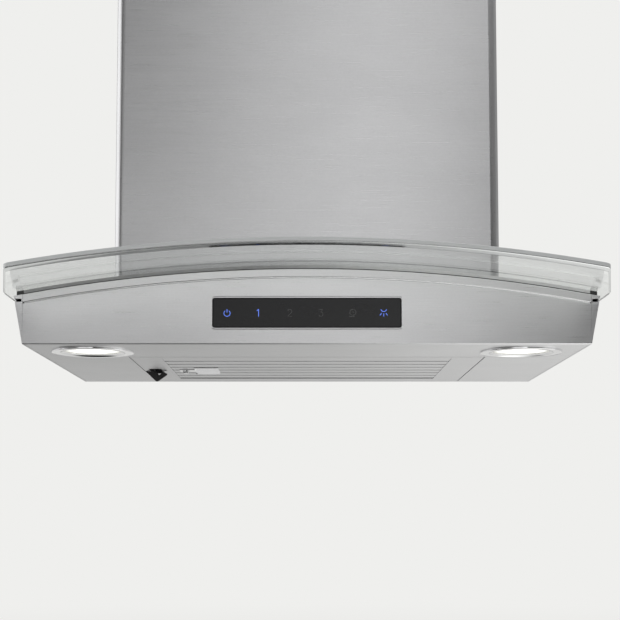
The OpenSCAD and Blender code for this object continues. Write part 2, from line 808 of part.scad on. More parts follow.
// Finned aluminium can with the lamp's chips, standing on the ring's neck
module lamp_can(s) {
    fin_pitch = lamp_can_h / (lamp_fins + 0.5);
    color(dull_steel) translate([s * lamp_x, lamp_y, 0]) difference() {
        union() {
            translate([0, 0, lens_t]) cylinder(r = lens_r - 0.5, h = lamp_neck_h - lens_t + cut);
            translate([0, 0, lamp_neck_h]) cylinder(r = lamp_can_r, h = lamp_can_h);
        }
        for (i = [0:lamp_fins - 1]) translate([0, 0, lamp_neck_h + (i + 0.75) * fin_pitch]) {
            difference() {
                cylinder(r = lamp_can_r + cut, h = fin_pitch / 2);
                translate([0, 0, -cut]) cylinder(r = lamp_can_r - 5, h = fin_pitch + cut);
            }
        }
    }
}

// Two spring clips that press the ring's neck down onto the underside sheet
module lamp_clips(s) {
    w = 10;
    t = 0.6;
    out = lamp_neck_r + seat_gap;
    color(zinc) for (e = [-1, 1]) faced_at(s * lamp_x, e) translate([out, lamp_y - w / 2, sheet]) {
        cube([lamp_clip_reach, w, t]);
        cube([t, w, lamp_neck_h - sheet - 1]);
    }
}

// The same thing at x, facing right for e = 1 and mirrored to face left for e = -1
module faced_at(x, e) {
    translate([x, 0, 0]) mirror([e < 0 ? 1 : 0, 0, 0]) children();
}

// Filter frame of folded sheet: channels hold the ends of the baffles, the end rims are troughs open
// above, and two hinge pins stand out near its right end
module filter_frame() {
    s = filter_sheet;
    color(steel) {
        difference() {
            mid_box(filter_w / 2, filter_back, filter_front, 0, filter_t);
            mid_box(window_hw, window_back, window_front, -cut, filter_t + cut);
            mid_box(window_hw + baffle_seat, filter_back + s, filter_front - s, s, filter_t - s);
            for (e = [-1, 1]) mirrored(e) {
                translate([window_hw + baffle_seat + s, -filter_front + s, s]) {
                    rim_w = filter_end_rim - baffle_seat;
                    cube([rim_w - 2 * s, filter_front - filter_back - 2 * s, filter_t]);
                }
            }
            cup_hole(inset_gap);
            latch_slot(cup_edge + cut);
        }
        for (y = [-filter_back, -filter_front]) translate([filter_pin_x, y, filter_pin_z]) {
            rotate([90, 0, 0]) cylinder(r = pin_r, h = 2 * (filter_gap + sheet), center = true);
        }
    }
}

// Slot for the latch bolt, from outside the frame's left end inwards by reach
module latch_slot(reach) {
    translate([-filter_w / 2 - cut, latch_y - latch_w / 2 - inset_gap, latch_z - latch_t / 2 - inset_gap]) {
        cube([reach + cut, latch_w + 2 * inset_gap, latch_t + 2 * inset_gap]);
    }
}

// Hole for the latch cup in the frame's left rim
module cup_hole(gap) {
    translate([cup_x - gap, latch_y - cup_len / 2 - gap, -cut]) {
        cube([cup_w + 2 * gap, cup_len + 2 * gap, cup_depth + gap + cut]);
    }
}

// Lower row of baffles: channels open upwards, side by side across the window
module lower_baffles() {
    s = filter_sheet;
    color(steel) for (i = [0:baffle_count - 1]) {
        far = window_front - baffle_gap - i * baffle_pitch;
        difference() {
            mid_box(window_hw + baffle_seat - 1, far - baffle_w, far, s, s + baffle_lip);
            mid_box(window_hw + baffle_seat, far - baffle_w + s, far - s, 2 * s, s + baffle_lip + cut);
        }
    }
}

// Upper row of baffles: channels open downwards, over the slots of the lower row
module upper_baffles() {
    s = filter_sheet;
    top = filter_t - s;
    color(steel) for (i = [0:baffle_count]) {
        mid = window_front - baffle_gap / 2 - i * baffle_pitch;
        far = mid + upper_baffle_w / 2;
        difference() {
            mid_box(window_hw + baffle_seat - 1, far - upper_baffle_w, far, top - baffle_lip, top);
            mid_box(window_hw + baffle_seat, far - upper_baffle_w + s, far - s, 0, top - s);
        }
    }
}

// Bright finger plate under the baffles, with a rivet on its tongue and a lip folded down at its rear
module filter_grip() {
    t = 1.5 * filter_sheet;
    rivet_d = 7.5;
    tongue_w = 18;
    tongue_d = 2 * rivet_d;
    rivet_x = rivet_d / 2 + 3;
    color(chrome) translate([8 - window_hw, latch_y, filter_sheet - t]) {
        translate([tongue_w, -grip_d, 0]) cube([grip_w, grip_d, t]);
        translate([tongue_w, -t, -grip_drop]) cube([grip_w, t, grip_drop + t / 2]);
        translate([0, -tongue_d, 0]) cube([tongue_w + t, tongue_d, t]);
        translate([rivet_x, -tongue_d / 2, -grip_drop]) cylinder(d = rivet_d, h = grip_drop + t / 2);
    }
}

// Black cup in the frame's left rim, open below, slotted for the latch bolt
module latch_cup() {
    color(black) difference() {
        cup_block(0);
        translate([0, 0, -cut]) cup_block(cup_wall);
        latch_slot(cup_edge + 2 * cup_wall);
    }
}

// The cup as a solid, drawn in by a wall
module cup_block(wall) {
    translate([cup_x + wall, latch_y - cup_len / 2 + wall, 0]) {
        cube([cup_w - 2 * wall, cup_len - 2 * wall, cup_depth - wall + (wall > 0 ? cut : 0)]);
    }
}

// Outline of the latch's thumb piece, seen from the front: it narrows to a round tip and has a dent
// in its upper edge beside the stem
function thumb_outline(left, top) =
    let (right = left + thumb_w, tip = left + thumb_w / 2, dent = left + 0.6 * thumb_w)
    concat(
        [[left, top]],
        corner([left, top], [tip, top - thumb_h], [right, top - thumb_h / 4], 3),
        corner([tip, top - thumb_h], [right, top - thumb_h / 4], [dent + thumb_w / 5, top], 1.2),
        [[dent + thumb_w / 5, top - thumb_h / 12], [dent, top - thumb_h / 3], [dent - thumb_w / 8, top]]
    );

// Latch bolt with a stem through the cup and a thumb piece that hangs below the filter
module filter_latch() {
    tip = -filter_w / 2 - filter_gap + latch_gap;
    stem_w = 3;
    stem_x = cup_x + cup_wall + stop_gap;
    color(black) translate([0, latch_y, 0]) {
        translate([tip, -latch_w / 2, latch_z - latch_t / 2]) cube([stem_x + stem_w - tip, latch_w, latch_t]);
        translate([stem_x, -latch_w / 2, -thumb_gap]) cube([stem_w, latch_w, latch_z + thumb_gap]);
        translate([0, thumb_t / 2, 0]) rotate([90, 0, 0]) linear_extrude(thumb_t) {
            polygon(thumb_outline(-filter_w / 2, -thumb_gap));
        }
        translate([stem_x, -thumb_t / 2, -2 * thumb_gap]) cube([stem_w, thumb_t, 2 * thumb_gap]);
    }
}

// Sheet box over the canopy that holds the blower and hangs the hood on the wall
module blower_box() {
    hw = box_w / 2;
    color(zinc) difference() {
        union() {
            mid_box(hw, 0, box_d, canopy_h - box_tuck, box_top_z);
            intersection() {
                arch_layer(seat_gap, seat_gap + sheet, 0, box_d + lip_w);
                mid_box(hw + lip_w, 0, box_d + lip_w, 0, canopy_h + 2 * sheet);
            }
        }
        mid_box(hw - sheet, sheet, box_d - sheet, 0, box_inner_top);
        under_arch(seat_gap, -cut, box_d + 2 * lip_w);
        translate([0, collar_y, box_inner_top - cut]) {
            cylinder(r = collar_r - collar_wall, h = sheet + 2 * cut);
        }
        for (s = [-1, 1]) translate([s * hang_spacing / 2, cut, box_top_z - hang_drop]) {
            rotate([90, 0, 0]) cylinder(d = hang_hole_d, h = sheet + 2 * cut);
        }
        collar_screw_places() cylinder(r = screw_hole_r, h = 6 * sheet, center = true);
        gland_place() cylinder(r = gland_r + inset_gap, h = 6 * sheet, center = true);
        box_screw_places() translate([0, 0, -3 * sheet]) cylinder(r = screw_hole_r, h = 6 * sheet);
    }
}

// Where the blower box's lips are screwed to the canopy's top
module box_screw_places() {
    for (s = [-1, 1]) for (d = [box_screw_inset, box_d - box_screw_inset]) {
        on_arch(s * (box_w + lip_w) / 2, d, 2 * seat_gap + sheet) children();
    }
}

module box_screws() {
    color(zinc) box_screw_places() screw(screw_d, screw_len, screw_head_d, screw_head_h);
}

// Turns the plane of the scroll's outline upright, across the fan's axis; u runs to the front, v up
module fan_plane() {
    translate([0, wheel_y, wheel_z]) rotate([90, 0, -90]) children();
}

// Outline of the scroll's air space, grown by a wall: a spiral from the tongue, then a straight outlet
function scroll_outline(wall, top) = concat(
    [for (a = [tongue_a:8:360]) (scroll_r(a) + wall) * [cos(a), sin(a)]],
    [[outlet_front + wall, top], [outlet_back - wall, top]]
);

// Spiral fan housing with a rounded inlet on each side and a flange round its outlet
module scroll_housing() {
    flange = 8;
    top = box_inner_top - wheel_z;
    color(dull_steel) difference() {
        union() {
            fan_plane() linear_extrude(2 * scroll_hw, center = true) {
                polygon(scroll_outline(scroll_wall, top));
            }
            translate([-scroll_hw - flange, wheel_y - outlet_front - flange, box_inner_top - 2]) {
                cube([2 * (scroll_hw + flange), outlet_front - outlet_back + 2 * flange, 2]);
            }
            for (s = [-1, 1]) inlet_place(s) cylinder(r = inlet_r + inlet_lip, h = inlet_lip);
        }
        fan_plane() linear_extrude(2 * (scroll_hw - scroll_wall), center = true) {
            polygon(scroll_outline(0, top + cut));
        }
        for (s = [-1, 1]) inlet_place(s) inlet_mouth();
        for (a = bracket_angles) fan_plane() rotate([0, 0, a]) {
            translate([bush_ring_r, 0, scroll_hw]) cylinder(r = 2, h = 4 * scroll_wall, center = true);
        }
    }
}

// The outer face of each side of the scroll, facing out
module inlet_place(s) {
    translate([s * scroll_hw, wheel_y, wheel_z]) rotate([0, s * 90, 0]) children();
}

// Air way through an inlet: a quarter round that opens outwards
module inlet_mouth() {
    rotate_extrude($fn = 96) polygon(concat(
        [[0, inlet_lip + cut], [0, -scroll_wall - cut], [inlet_r, -scroll_wall - cut]],
        [for (i = [0:5]) [inlet_r + inlet_lip * (1 - cos(i * 16)), inlet_lip * sin(i * 16)]],
        [[inlet_r + inlet_lip * 0.8, inlet_lip + cut]]
    ));
}

// Outline of one blade, curved forwards: its angle grows with the square of the way out, and half
// its thickness, turned into an angle, lies on each side
function blade_point(t, side) =
    let (r = blade_in_r + blade_edge + (blade_d - 2 * blade_edge) * t)
    let (a = blade_sweep * t * t + side * atan(blade_t / 2 / r))
    r * [cos(a), sin(a)];
function blade_outline(steps = 4) = concat(
    [for (i = [0:steps]) blade_point(i / steps, 1)],
    [for (i = [steps:-1:0]) blade_point(i / steps, -1)]
);

// Fan wheel: two rings and a middle disc joined by curved blades, with a hub on the disc
module fan_wheel() {
    color([0.2, 0.21, 0.22]) fan_plane() difference() {
        union() {
            for (i = [0:blade_count - 1]) rotate([0, 0, i * 360 / blade_count]) {
                linear_extrude(2 * wheel_hw, center = true) polygon(blade_outline());
            }
            for (s = [-1, 1]) translate([0, 0, s * (wheel_hw - wheel_ring_t / 2)]) difference() {
                cylinder(r = wheel_r, h = wheel_ring_t, center = true, $fn = 96);
                cylinder(r = blade_in_r, h = 2 * wheel_ring_t, center = true, $fn = 96);
            }
            cylinder(r = wheel_r, h = wheel_disc_t, center = true, $fn = 96);
            translate([0, 0, -hub_len]) cylinder(r = hub_r, h = hub_len);
        }
        cylinder(d = shaft_d + 2 * pin_clear, h = 4 * wheel_hw, center = true);
    }
}

// Motor shaft, through the motor and the wheel's hub
module motor_shaft() {
    color(zinc) fan_plane() translate([0, 0, -hub_len - 4]) {
        cylinder(d = shaft_d, h = hub_len + 4 + motor_end + 4);
    }
}

// Fan motor inside the left half of the wheel, ribbed round its can
module fan_motor() {
    inner = wheel_disc_t / 2 + motor_gap;
    len = motor_end - inner;
    end_cap = 10;
    r = motor_d / 2;
    step = 6;
    can_len = len - step - end_cap;
    color(dull_steel) fan_plane() difference() {
        union() {
            translate([0, 0, inner]) cylinder(r = r - step, h = len);
            translate([0, 0, inner + step]) cylinder(r = r, h = can_len);
            translate([0, 0, inner]) cylinder(r = shaft_d, h = len + 3);
        }
        for (i = [1:4]) translate([0, 0, inner + step + i * can_len / 5]) difference() {
            cylinder(r = r + cut, h = 2, center = true);
            cylinder(r = r - 2, h = 2 + cut, center = true);
        }
        cylinder(d = shaft_d + 2 * pin_clear, h = 8 * wheel_hw, center = true);
    }
}

// Three-armed bracket that holds the motor's end over the left inlet
module motor_bracket() {
    ring_in = motor_d / 2 - 6 + seat_gap;
    color(zinc) fan_plane() translate([0, 0, motor_end - bracket_t]) difference() {
        union() {
            cylinder(r = ring_in + 7, h = bracket_t);
            for (a = bracket_angles) rotate([0, 0, a]) {
                translate([ring_in + 4, -bracket_w / 2, 0]) {
                    cube([bush_ring_r - ring_in - 4, bracket_w, bracket_t]);
                }
                translate([bush_ring_r, 0, 0]) cylinder(r = bush_r + 1.5, h = bracket_t);
            }
        }
        translate([0, 0, -cut]) cylinder(r = ring_in, h = bracket_t + 2 * cut);
        for (a = bracket_angles) rotate([0, 0, a]) {
            translate([bush_ring_r, 0, -cut]) cylinder(r = screw_hole_r, h = bracket_t + 2 * cut);
        }
    }
}

// Rubber bushes between the bracket's arms and the scroll, each with its screw hole
module motor_bushes() {
    color(rubber) fan_plane() for (a = bracket_angles) rotate([0, 0, a]) {
        translate([bush_ring_r, 0, scroll_hw]) difference() {
            cylinder(r = bush_r, h = motor_end - bracket_t - scroll_hw);
            translate([0, 0, -cut]) cylinder(r = screw_hole_r, h = motor_end);
        }
    }
}

// Motor capacitor, lying on top of the blower box
module capacitor() {
    len = 56;
    stud_r = 5;
    stud_len = 6;
    color([0.9, 0.9, 0.9]) translate([capacitor_x, collar_y, box_top_z + capacitor_rise]) rotate([90, 0, 0]) {
        cylinder(r = capacitor_r, h = len, center = true);
        cylinder(r = stud_r, h = len + 2 * stud_len, center = true);
    }
}

// Strap that holds the capacitor down
module capacitor_strap() {
    r = capacitor_r + seat_gap;
    out = r + strap_t;
    foot = 8;
    w = 12;
    color(zinc) translate([capacitor_x, collar_y, box_top_z]) difference() {
        union() {
            translate([0, 0, capacitor_rise]) rotate([90, 0, 0]) cylinder(r = out, h = w, center = true);
            translate([-out, -w / 2, 0]) cube([2 * out, w, capacitor_rise]);
            translate([-r - foot, -w / 2, 0]) cube([2 * (r + foot), w, strap_t]);
        }
        translate([0, 0, capacitor_rise]) rotate([90, 0, 0]) cylinder(r = r, h = w + cut, center = true);
        translate([-r, -w / 2 - cut, -cut]) cube([2 * r, w + 2 * cut, capacitor_rise + cut]);
    }
}

// Where the mains cable enters, through the top of the blower box, near its rear right corner
module gland_place() {
    translate([box_w / 2 - 3 * gland_r, -4 * gland_r, box_top_z]) children();
}

// Plastic gland for the mains cable
module cable_gland() {
    below = 6;
    nut_h = 5;
    cap_h = 8;
    color(black) gland_place() difference() {
        union() {
            translate([0, 0, -below]) cylinder(r = gland_r, h = below + cut);
            cylinder(r = gland_r + 4, h = nut_h, $fn = 6);
            translate([0, 0, nut_h - cut]) cylinder(r = gland_r, h = cap_h + cut);
        }
        translate([0, 0, -below - cut]) cylinder(r = gland_bore_r, h = below + nut_h + cap_h + 2 * cut);
    }
}

// Round collar for the duct, with a base flange, pin holes and a stop ring for the flaps
module duct_collar() {
    in_r = collar_r - collar_wall;
    stop_z = damper_z - flap_t / 2 - stop_gap;
    color(dull_steel) translate([0, collar_y, box_top_z]) difference() {
        union() {
            cylinder(r = collar_r, h = collar_h, $fn = 96);
            cylinder(r = collar_r + collar_lip, h = collar_base_t, $fn = 96);
        }
        translate([0, 0, stop_z]) cylinder(r = in_r, h = collar_h, $fn = 96);
        translate([0, 0, -cut]) cylinder(r = in_r, h = stop_z - stop_t + cut, $fn = 96);
        translate([0, 0, -cut]) cylinder(r = in_r - stop_w, h = collar_h, $fn = 96);
        for (s = [-1, 1]) translate([0, s * damper_pin_gap / 2, damper_z]) rotate([0, 90, 0]) {
            cylinder(r = damper_pin_d / 2 + pin_clear, h = 3 * collar_r, center = true);
        }
        for (a = collar_screw_angles) rotate([0, 0, a]) {
            translate([collar_screw_r, 0, -cut]) cylinder(r = screw_hole_r, h = collar_base_t + 2 * cut);
        }
    }
}

module collar_screw_places() {
    for (a = collar_screw_angles) {
        translate([0, collar_y, box_top_z]) rotate([0, 0, a]) translate([collar_screw_r, 0, 0]) children();
    }
}

module collar_screws() {
    color(zinc) collar_screw_places() translate([0, 0, collar_base_t]) {
        screw(screw_d, screw_len - 2, screw_head_d - 1, screw_head_h);
    }
}

// Half-round damper flap on its own pin, on the front side for s = -1 and the rear side for s = 1
module damper_flap(s) {
    pin_y = s * damper_pin_gap / 2;
    pin_half = sqrt(pow(collar_r, 2) - pow(damper_pin_gap / 2 + damper_pin_d, 2));
    translate([0, collar_y, damper_pin_z]) {
        translate([0, pin_y, 0]) rotate([0, 90, 0]) {
            cylinder(d = damper_pin_d, h = 2 * pin_half, center = true);
        }
        intersection() {
            translate([0, 0, -flap_t / 2]) cylinder(r = flap_r, h = flap_t, $fn = 96);
            translate([0, pin_y + s * collar_r, 0]) {
                cube([4 * collar_r, 2 * collar_r, 2 * flap_t], center = true);
            }
        }
    }
}

module damper_front() {
    color(dull_steel) damper_flap(-1);
}

module damper_rear() {
    color(dull_steel) damper_flap(1);
}

canopy_shell();
front_panel();
trim_rail();
bottom_panel();
glass_canopy();
glass_gasket();
glass_bushes();
glass_bolts();
lower_chimney();
upper_chimney();
chimney_clips();
chimney_screws();
top_bracket();
touch_window();
touch_bezel();
touch_board();
control_box();
lamp_driver();
lamp_ring(-1);  // lamp_ring_left
lamp_ring(1);  // lamp_ring_right
lamp_lens(-1);  // lamp_lens_left
lamp_lens(1);  // lamp_lens_right
lamp_can(-1);  // lamp_can_left
lamp_can(1);  // lamp_can_right
lamp_clips(-1);  // lamp_clips_left
lamp_clips(1);  // lamp_clips_right
filter_frame();
lower_baffles();
upper_baffles();
filter_grip();
latch_cup();
filter_latch();
blower_box();
box_screws();
scroll_housing();
fan_wheel();
motor_shaft();
fan_motor();
motor_bracket();
motor_bushes();
capacitor();
capacitor_strap();
cable_gland();
duct_collar();
collar_screws();
damper_front();
damper_rear();
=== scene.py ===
"""Finishes and fine pieces of a chimney range hood with an arched glass canopy."""
import json
import math

import bmesh
import bpy
import numpy as np
from bpy.props import FloatProperty, FloatVectorProperty, PointerProperty
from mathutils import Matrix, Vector


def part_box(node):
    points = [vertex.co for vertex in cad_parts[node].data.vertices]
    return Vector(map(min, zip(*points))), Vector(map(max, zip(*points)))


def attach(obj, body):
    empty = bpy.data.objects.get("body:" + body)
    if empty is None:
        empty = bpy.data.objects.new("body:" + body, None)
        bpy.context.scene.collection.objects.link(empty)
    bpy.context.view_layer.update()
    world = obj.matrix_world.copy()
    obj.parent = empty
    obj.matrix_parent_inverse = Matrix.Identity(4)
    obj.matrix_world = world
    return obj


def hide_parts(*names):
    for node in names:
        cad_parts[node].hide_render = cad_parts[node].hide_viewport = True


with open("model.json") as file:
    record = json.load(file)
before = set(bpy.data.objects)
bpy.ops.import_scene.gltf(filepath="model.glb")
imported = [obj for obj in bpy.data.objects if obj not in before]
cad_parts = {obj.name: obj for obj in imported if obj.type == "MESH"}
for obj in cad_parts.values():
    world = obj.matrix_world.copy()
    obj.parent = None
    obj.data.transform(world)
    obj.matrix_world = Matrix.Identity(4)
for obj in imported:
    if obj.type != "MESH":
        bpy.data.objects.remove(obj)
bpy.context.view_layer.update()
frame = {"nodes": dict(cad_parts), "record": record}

bl_info = {
    "name": "Chimney Range Hood",
    "version": (1, 0, 0),
    "blender": (4, 5, 0),
    "location": "View3D > Sidebar > Range Hood",
    "description": "Builds the finishes and fine pieces of a chimney range hood on its frame",
    "category": "Object",
}

MM = 0.001
SHARP = math.radians(35)
FOLDED = math.radians(40)

FRONT_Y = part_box("front_panel")[0].y
UNDERSIDE_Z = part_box("bottom_panel")[0].z
CANOPY_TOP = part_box("canopy_shell")[1].z
GLASS_LOW, GLASS_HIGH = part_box("glass_canopy")
BODY_OF = {
    name: body for body, names in frame["record"]["behaviour"]["bodies"].items() for name in names}
SLOT_OF = {row["node"]: row["material_slot"] for row in frame["record"]["subparts"]}


def linear(hex_colour):
    """Turn an sRGB hex colour such as '#C0C0C0' into a linear colour with alpha."""
    parts = [int(hex_colour[i:i + 2], 16) / 255 for i in (1, 3, 5)]
    return tuple(c / 12.92 if c <= 0.04045 else ((c + 0.055) / 1.055) ** 2.4 for c in parts) + (1.0,)


class SteelSettings(bpy.types.PropertyGroup):
    """Finish of the brushed sheets"""

    colour: FloatVectorProperty(
        name="Steel colour", description="Colour of the brushed stainless steel", subtype="COLOR",
        size=4, min=0, max=1, default=linear("#CFCFD0"))
    streak: FloatProperty(
        name="Streak length", description="Length of a brushed streak", unit="LENGTH", default=50 * MM)
    grain: FloatProperty(
        name="Streak width", description="Width of a brushed streak, as coarse as it has to be to show",
        unit="LENGTH", default=0.6 * MM)
    seam: FloatProperty(
        name="Seam", description="Width of the seam between the trim rail and the front panel",
        unit="LENGTH", default=0.8 * MM)
    edge: FloatProperty(
        name="Edge radius", description="Rounding of a sheet's cut and folded edges", unit="LENGTH",
        default=0.45 * MM)


class GlassSettings(bpy.types.PropertyGroup):
    """Shape and colour of the glass"""

    arch_radius: FloatProperty(
        name="Arch radius", description="Radius of the canopy's arched top", unit="LENGTH",
        default=1560 * MM)
    thickness: FloatProperty(
        name="Thickness", description="Thickness of the glass", unit="LENGTH", default=6 * MM)
    arris: FloatProperty(
        name="Arris", description="Rounding of the polished edges", unit="LENGTH", default=0.7 * MM)
    bevel_length: FloatProperty(
        name="Bevel length", description="Length of the bevel under the front edge", unit="LENGTH",
        default=7.5 * MM)
    bevel_rise: FloatProperty(
        name="Bevel rise", description="Rise of the bevel under the front edge", unit="LENGTH",
        default=1.25 * MM)
    colour: FloatVectorProperty(
        name="Glass colour", description="Tint of the clear glass", subtype="COLOR",
        size=4, min=0, max=1, default=linear("#F9FBFA"))
    edge_colour: FloatVectorProperty(
        name="Edge colour", description="Colour of the ground edges", subtype="COLOR",
        size=4, min=0, max=1, default=linear("#B0B2B2"))
    ground_share: FloatProperty(
        name="Ground share", description="Share of the edge's height that is ground, from the top",
        subtype="FACTOR", default=0.78, min=0.1, max=0.9)


class PanelSettings(bpy.types.PropertyGroup):
    """Signs on the touch panel"""

    pitch: FloatProperty(
        name="Sign spacing", description="Distance between two signs", unit="LENGTH", default=30.9 * MM)
    first: FloatProperty(
        name="First sign", description="Place of the first sign from the middle", unit="LENGTH",
        default=-78.8 * MM)
    height: FloatProperty(
        name="Sign height", description="Height of a sign", unit="LENGTH", default=7.4 * MM)
    stroke: FloatProperty(
        name="Stroke", description="Width of a sign's strokes", unit="LENGTH", default=0.62 * MM)
    lit: FloatVectorProperty(
        name="Lit colour", description="Colour of a lit sign", subtype="COLOR", size=4, min=0, max=1,
        default=linear("#5B7BE6"))
    dim: FloatVectorProperty(
        name="Dim colour", description="Colour of a sign that isn't lit", subtype="COLOR", size=4, min=0,
        max=1, default=linear("#434343"))


class StageSettings(bpy.types.PropertyGroup):
    """Camera, light and floor"""

    camera_y: FloatProperty(
        name="Camera distance", description="Camera's distance from the wall", unit="LENGTH",
        default=1.669)
    camera_z: FloatProperty(
        name="Camera height", description="Camera's height above the underside", unit="LENGTH",
        default=-0.165)
    tilt: FloatProperty(
        name="Camera tilt", description="How far the camera looks up", unit="ROTATION",
        default=math.radians(4.72))
    lens: FloatProperty(name="Lens", description="Focal length in millimetres", default=76.9)
    shift: FloatProperty(name="Shift", description="Vertical shift of the lens", default=0.15)
    sideways: FloatProperty(
        name="Sideways shift", description="Sideways shift of the lens", default=0.0049)
    floor_z: FloatProperty(
        name="Floor height", description="Height of the pale floor", unit="LENGTH", default=-0.70)
    pale: FloatVectorProperty(
        name="Background", description="Colour of the background", subtype="COLOR", size=4, min=0, max=1,
        default=linear("#EFEFED"))


def add_node(tree, kind, inputs=None, **settings):
    """Add a node, set its attributes, and give each input a value or another node's output socket."""
    node = tree.nodes.new(kind)
    for name, value in settings.items():
        setattr(node, name, value)
    for name, value in (inputs or {}).items():
        if isinstance(value, bpy.types.NodeSocket):
            tree.links.new(value, node.inputs[name])
        else:
            node.inputs[name].default_value = value
    return node


def new_material(name):
    """An empty material and its node tree."""
    material = bpy.data.materials.new(name)
    material.use_nodes = True
    material.node_tree.nodes.clear()
    return material, material.node_tree


def finish_surface(tree, surface):
    """Link a shader's output to the material's surface."""
    add_node(tree, "ShaderNodeOutputMaterial", {"Surface": surface})


def principled(material, inputs):
    """Give a material a Principled shader with some inputs."""
    tree = material.node_tree
    finish_surface(tree, add_node(tree, "ShaderNodeBsdfPrincipled", inputs).outputs["BSDF"])
    return material


def object_place(tree):
    """Object coordinates, in metres."""
    return add_node(tree, "ShaderNodeTexCoord").outputs["Object"]


def parts_of(tree, vector):
    """A vector's X, Y and Z."""
    return add_node(tree, "ShaderNodeSeparateXYZ", {"Vector": vector}).outputs


def combined(tree, operation, *numbers):
    """Numbers joined by an operation."""
    node = add_node(tree, "ShaderNodeMath", dict(enumerate(numbers)), operation=operation)
    return node.outputs["Value"]


def joined(tree, operation, *vectors):
    """Vectors joined by an operation. LENGTH gives a number."""
    node = add_node(tree, "ShaderNodeVectorMath", dict(enumerate(vectors)), operation=operation)
    return node.outputs["Value" if operation == "LENGTH" else "Vector"]


def blend(tree, factor, first, second):
    """A number that goes from first to second while a factor goes from 0 to 1."""
    return add_node(tree, "ShaderNodeMix", {"Factor": factor, "A": first, "B": second},
                    data_type="FLOAT").outputs["Result"]


def smooth_step(tree, value, start, end, low=0.0, high=1.0):
    """Rise smoothly from low to high while a value goes from start to end."""
    return add_node(tree, "ShaderNodeMapRange", {
        "Value": value, "From Min": start, "From Max": end, "To Min": low, "To Max": high},
        interpolation_type="SMOOTHSTEP").outputs["Result"]


def stretched_noise(tree, sizes, detail=2.0):
    """Noise on Object coordinates, whose grains are as long as sizes along X, Y and Z, in metres."""
    mapping = add_node(tree, "ShaderNodeMapping", {
        "Vector": object_place(tree), "Scale": tuple(1 / s for s in sizes)})
    return add_node(tree, "ShaderNodeTexNoise", {
        "Vector": mapping.outputs["Vector"], "Scale": 1.0, "Detail": detail}).outputs["Fac"]


def spread(tree, value, low, high, source=(0.3, 0.7)):
    """Stretch a pattern's usual range onto low to high."""
    return add_node(tree, "ShaderNodeMapRange", {
        "Value": value, "From Min": source[0], "From Max": source[1], "To Min": low, "To Max": high,
    }).outputs["Result"]


def shaded(tree, colour, factor):
    """Multiply a colour by a grey factor."""
    return joined(tree, "MULTIPLY", colour[:3], factor)


def along_brushing(tree, along_x, along_y):
    """Choose a value for faces brushed along X, or the other one for side faces, brushed along Y.

    In a Mix node for vectors, sockets 0, 4 and 5 are the factor and the two values.
    """
    least_x = 0.72
    normal = add_node(tree, "ShaderNodeTexCoord").outputs["Normal"]
    sideways = combined(tree, "ABSOLUTE", parts_of(tree, normal)["X"])
    return add_node(tree, "ShaderNodeMix", {
        0: combined(tree, "GREATER_THAN", sideways, least_x), 4: along_x, 5: along_y},
        data_type="VECTOR").outputs[1]


def brushed_steel(name, settings, tint=1.0, roughness=0.30):
    """Stainless steel sheet, brushed along its length: its reflections are sharp along the brushing and
    drawn out across it, and long fine streaks vary its brightness.

    The streaks run along X on faces that look forwards, up or down, and along Y on the two sides.
    """
    material, tree = new_material(name)
    along, across = 1 / settings.streak, 1 / settings.grain
    place = object_place(tree)
    streaks = add_node(tree, "ShaderNodeTexNoise", {
        "Vector": along_brushing(tree, joined(tree, "MULTIPLY", place, (along, across, across)),
                                 joined(tree, "MULTIPLY", place, (across, along, across))),
        "Scale": 1.0, "Detail": 4.0}).outputs["Fac"]
    clouds = stretched_noise(tree, (90 * MM, 60 * MM, 40 * MM), detail=3.0)
    speckle = stretched_noise(tree, (2.2 * MM, 1.5 * MM, 1.5 * MM), detail=3.0)
    tone = combined(tree, "MULTIPLY", spread(tree, streaks, 0.97 * tint, 1.03 * tint),
                    spread(tree, clouds, 0.975, 1.025))
    tone = combined(tree, "MULTIPLY", tone, spread(tree, speckle, 0.98, 1.02))
    bump = add_node(tree, "ShaderNodeBump", {
        "Height": streaks, "Strength": 0.12, "Distance": 0.06 * MM})
    sideways = joined(tree, "CROSS_PRODUCT", along_brushing(tree, (1, 0, 0), (0, 1, 0)),
                      add_node(tree, "ShaderNodeTexCoord").outputs["Normal"])
    tangent = add_node(tree, "ShaderNodeVectorTransform", {"Vector": sideways}, vector_type="VECTOR",
                       convert_from="OBJECT", convert_to="WORLD").outputs["Vector"]
    return principled(material, {
        "Base Color": shaded(tree, settings.colour, tone), "Metallic": 1.0,
        "Roughness": spread(tree, streaks, roughness - 0.03, roughness + 0.04),
        "Anisotropic": 0.8, "Normal": bump.outputs["Normal"], "Tangent": tangent})


def zinc_sheet(name):
    """Hot-dip galvanised sheet: a dull bluish grey with faint crystal patches."""
    material, tree = new_material(name)
    crystals = add_node(tree, "ShaderNodeTexVoronoi", {
        "Vector": object_place(tree), "Scale": 1 / (9 * MM)})
    grey = add_node(tree, "ShaderNodeSeparateColor", {"Color": crystals.outputs["Color"]}).outputs["Red"]
    colour = shaded(tree, linear("#B4B8BC"), spread(tree, grey, 0.90, 1.08, (0, 1)))
    return principled(material, {
        "Base Color": colour, "Metallic": 1.0, "Roughness": spread(tree, grey, 0.38, 0.52, (0, 1))})


def cast_metal(name, colour, roughness, grain):
    """Die-cast or turned aluminium: satin, with a fine grain that breaks up its highlights."""
    material, tree = new_material(name)
    noise = stretched_noise(tree, (grain, grain, grain), detail=3.0)
    bump = add_node(tree, "ShaderNodeBump", {"Height": noise, "Strength": 0.2, "Distance": 0.1 * MM})
    return principled(material, {
        "Base Color": shaded(tree, linear(colour), spread(tree, noise, 0.94, 1.05)), "Metallic": 1.0,
        "Roughness": spread(tree, noise, roughness - 0.05, roughness + 0.08),
        "Normal": bump.outputs["Normal"]})


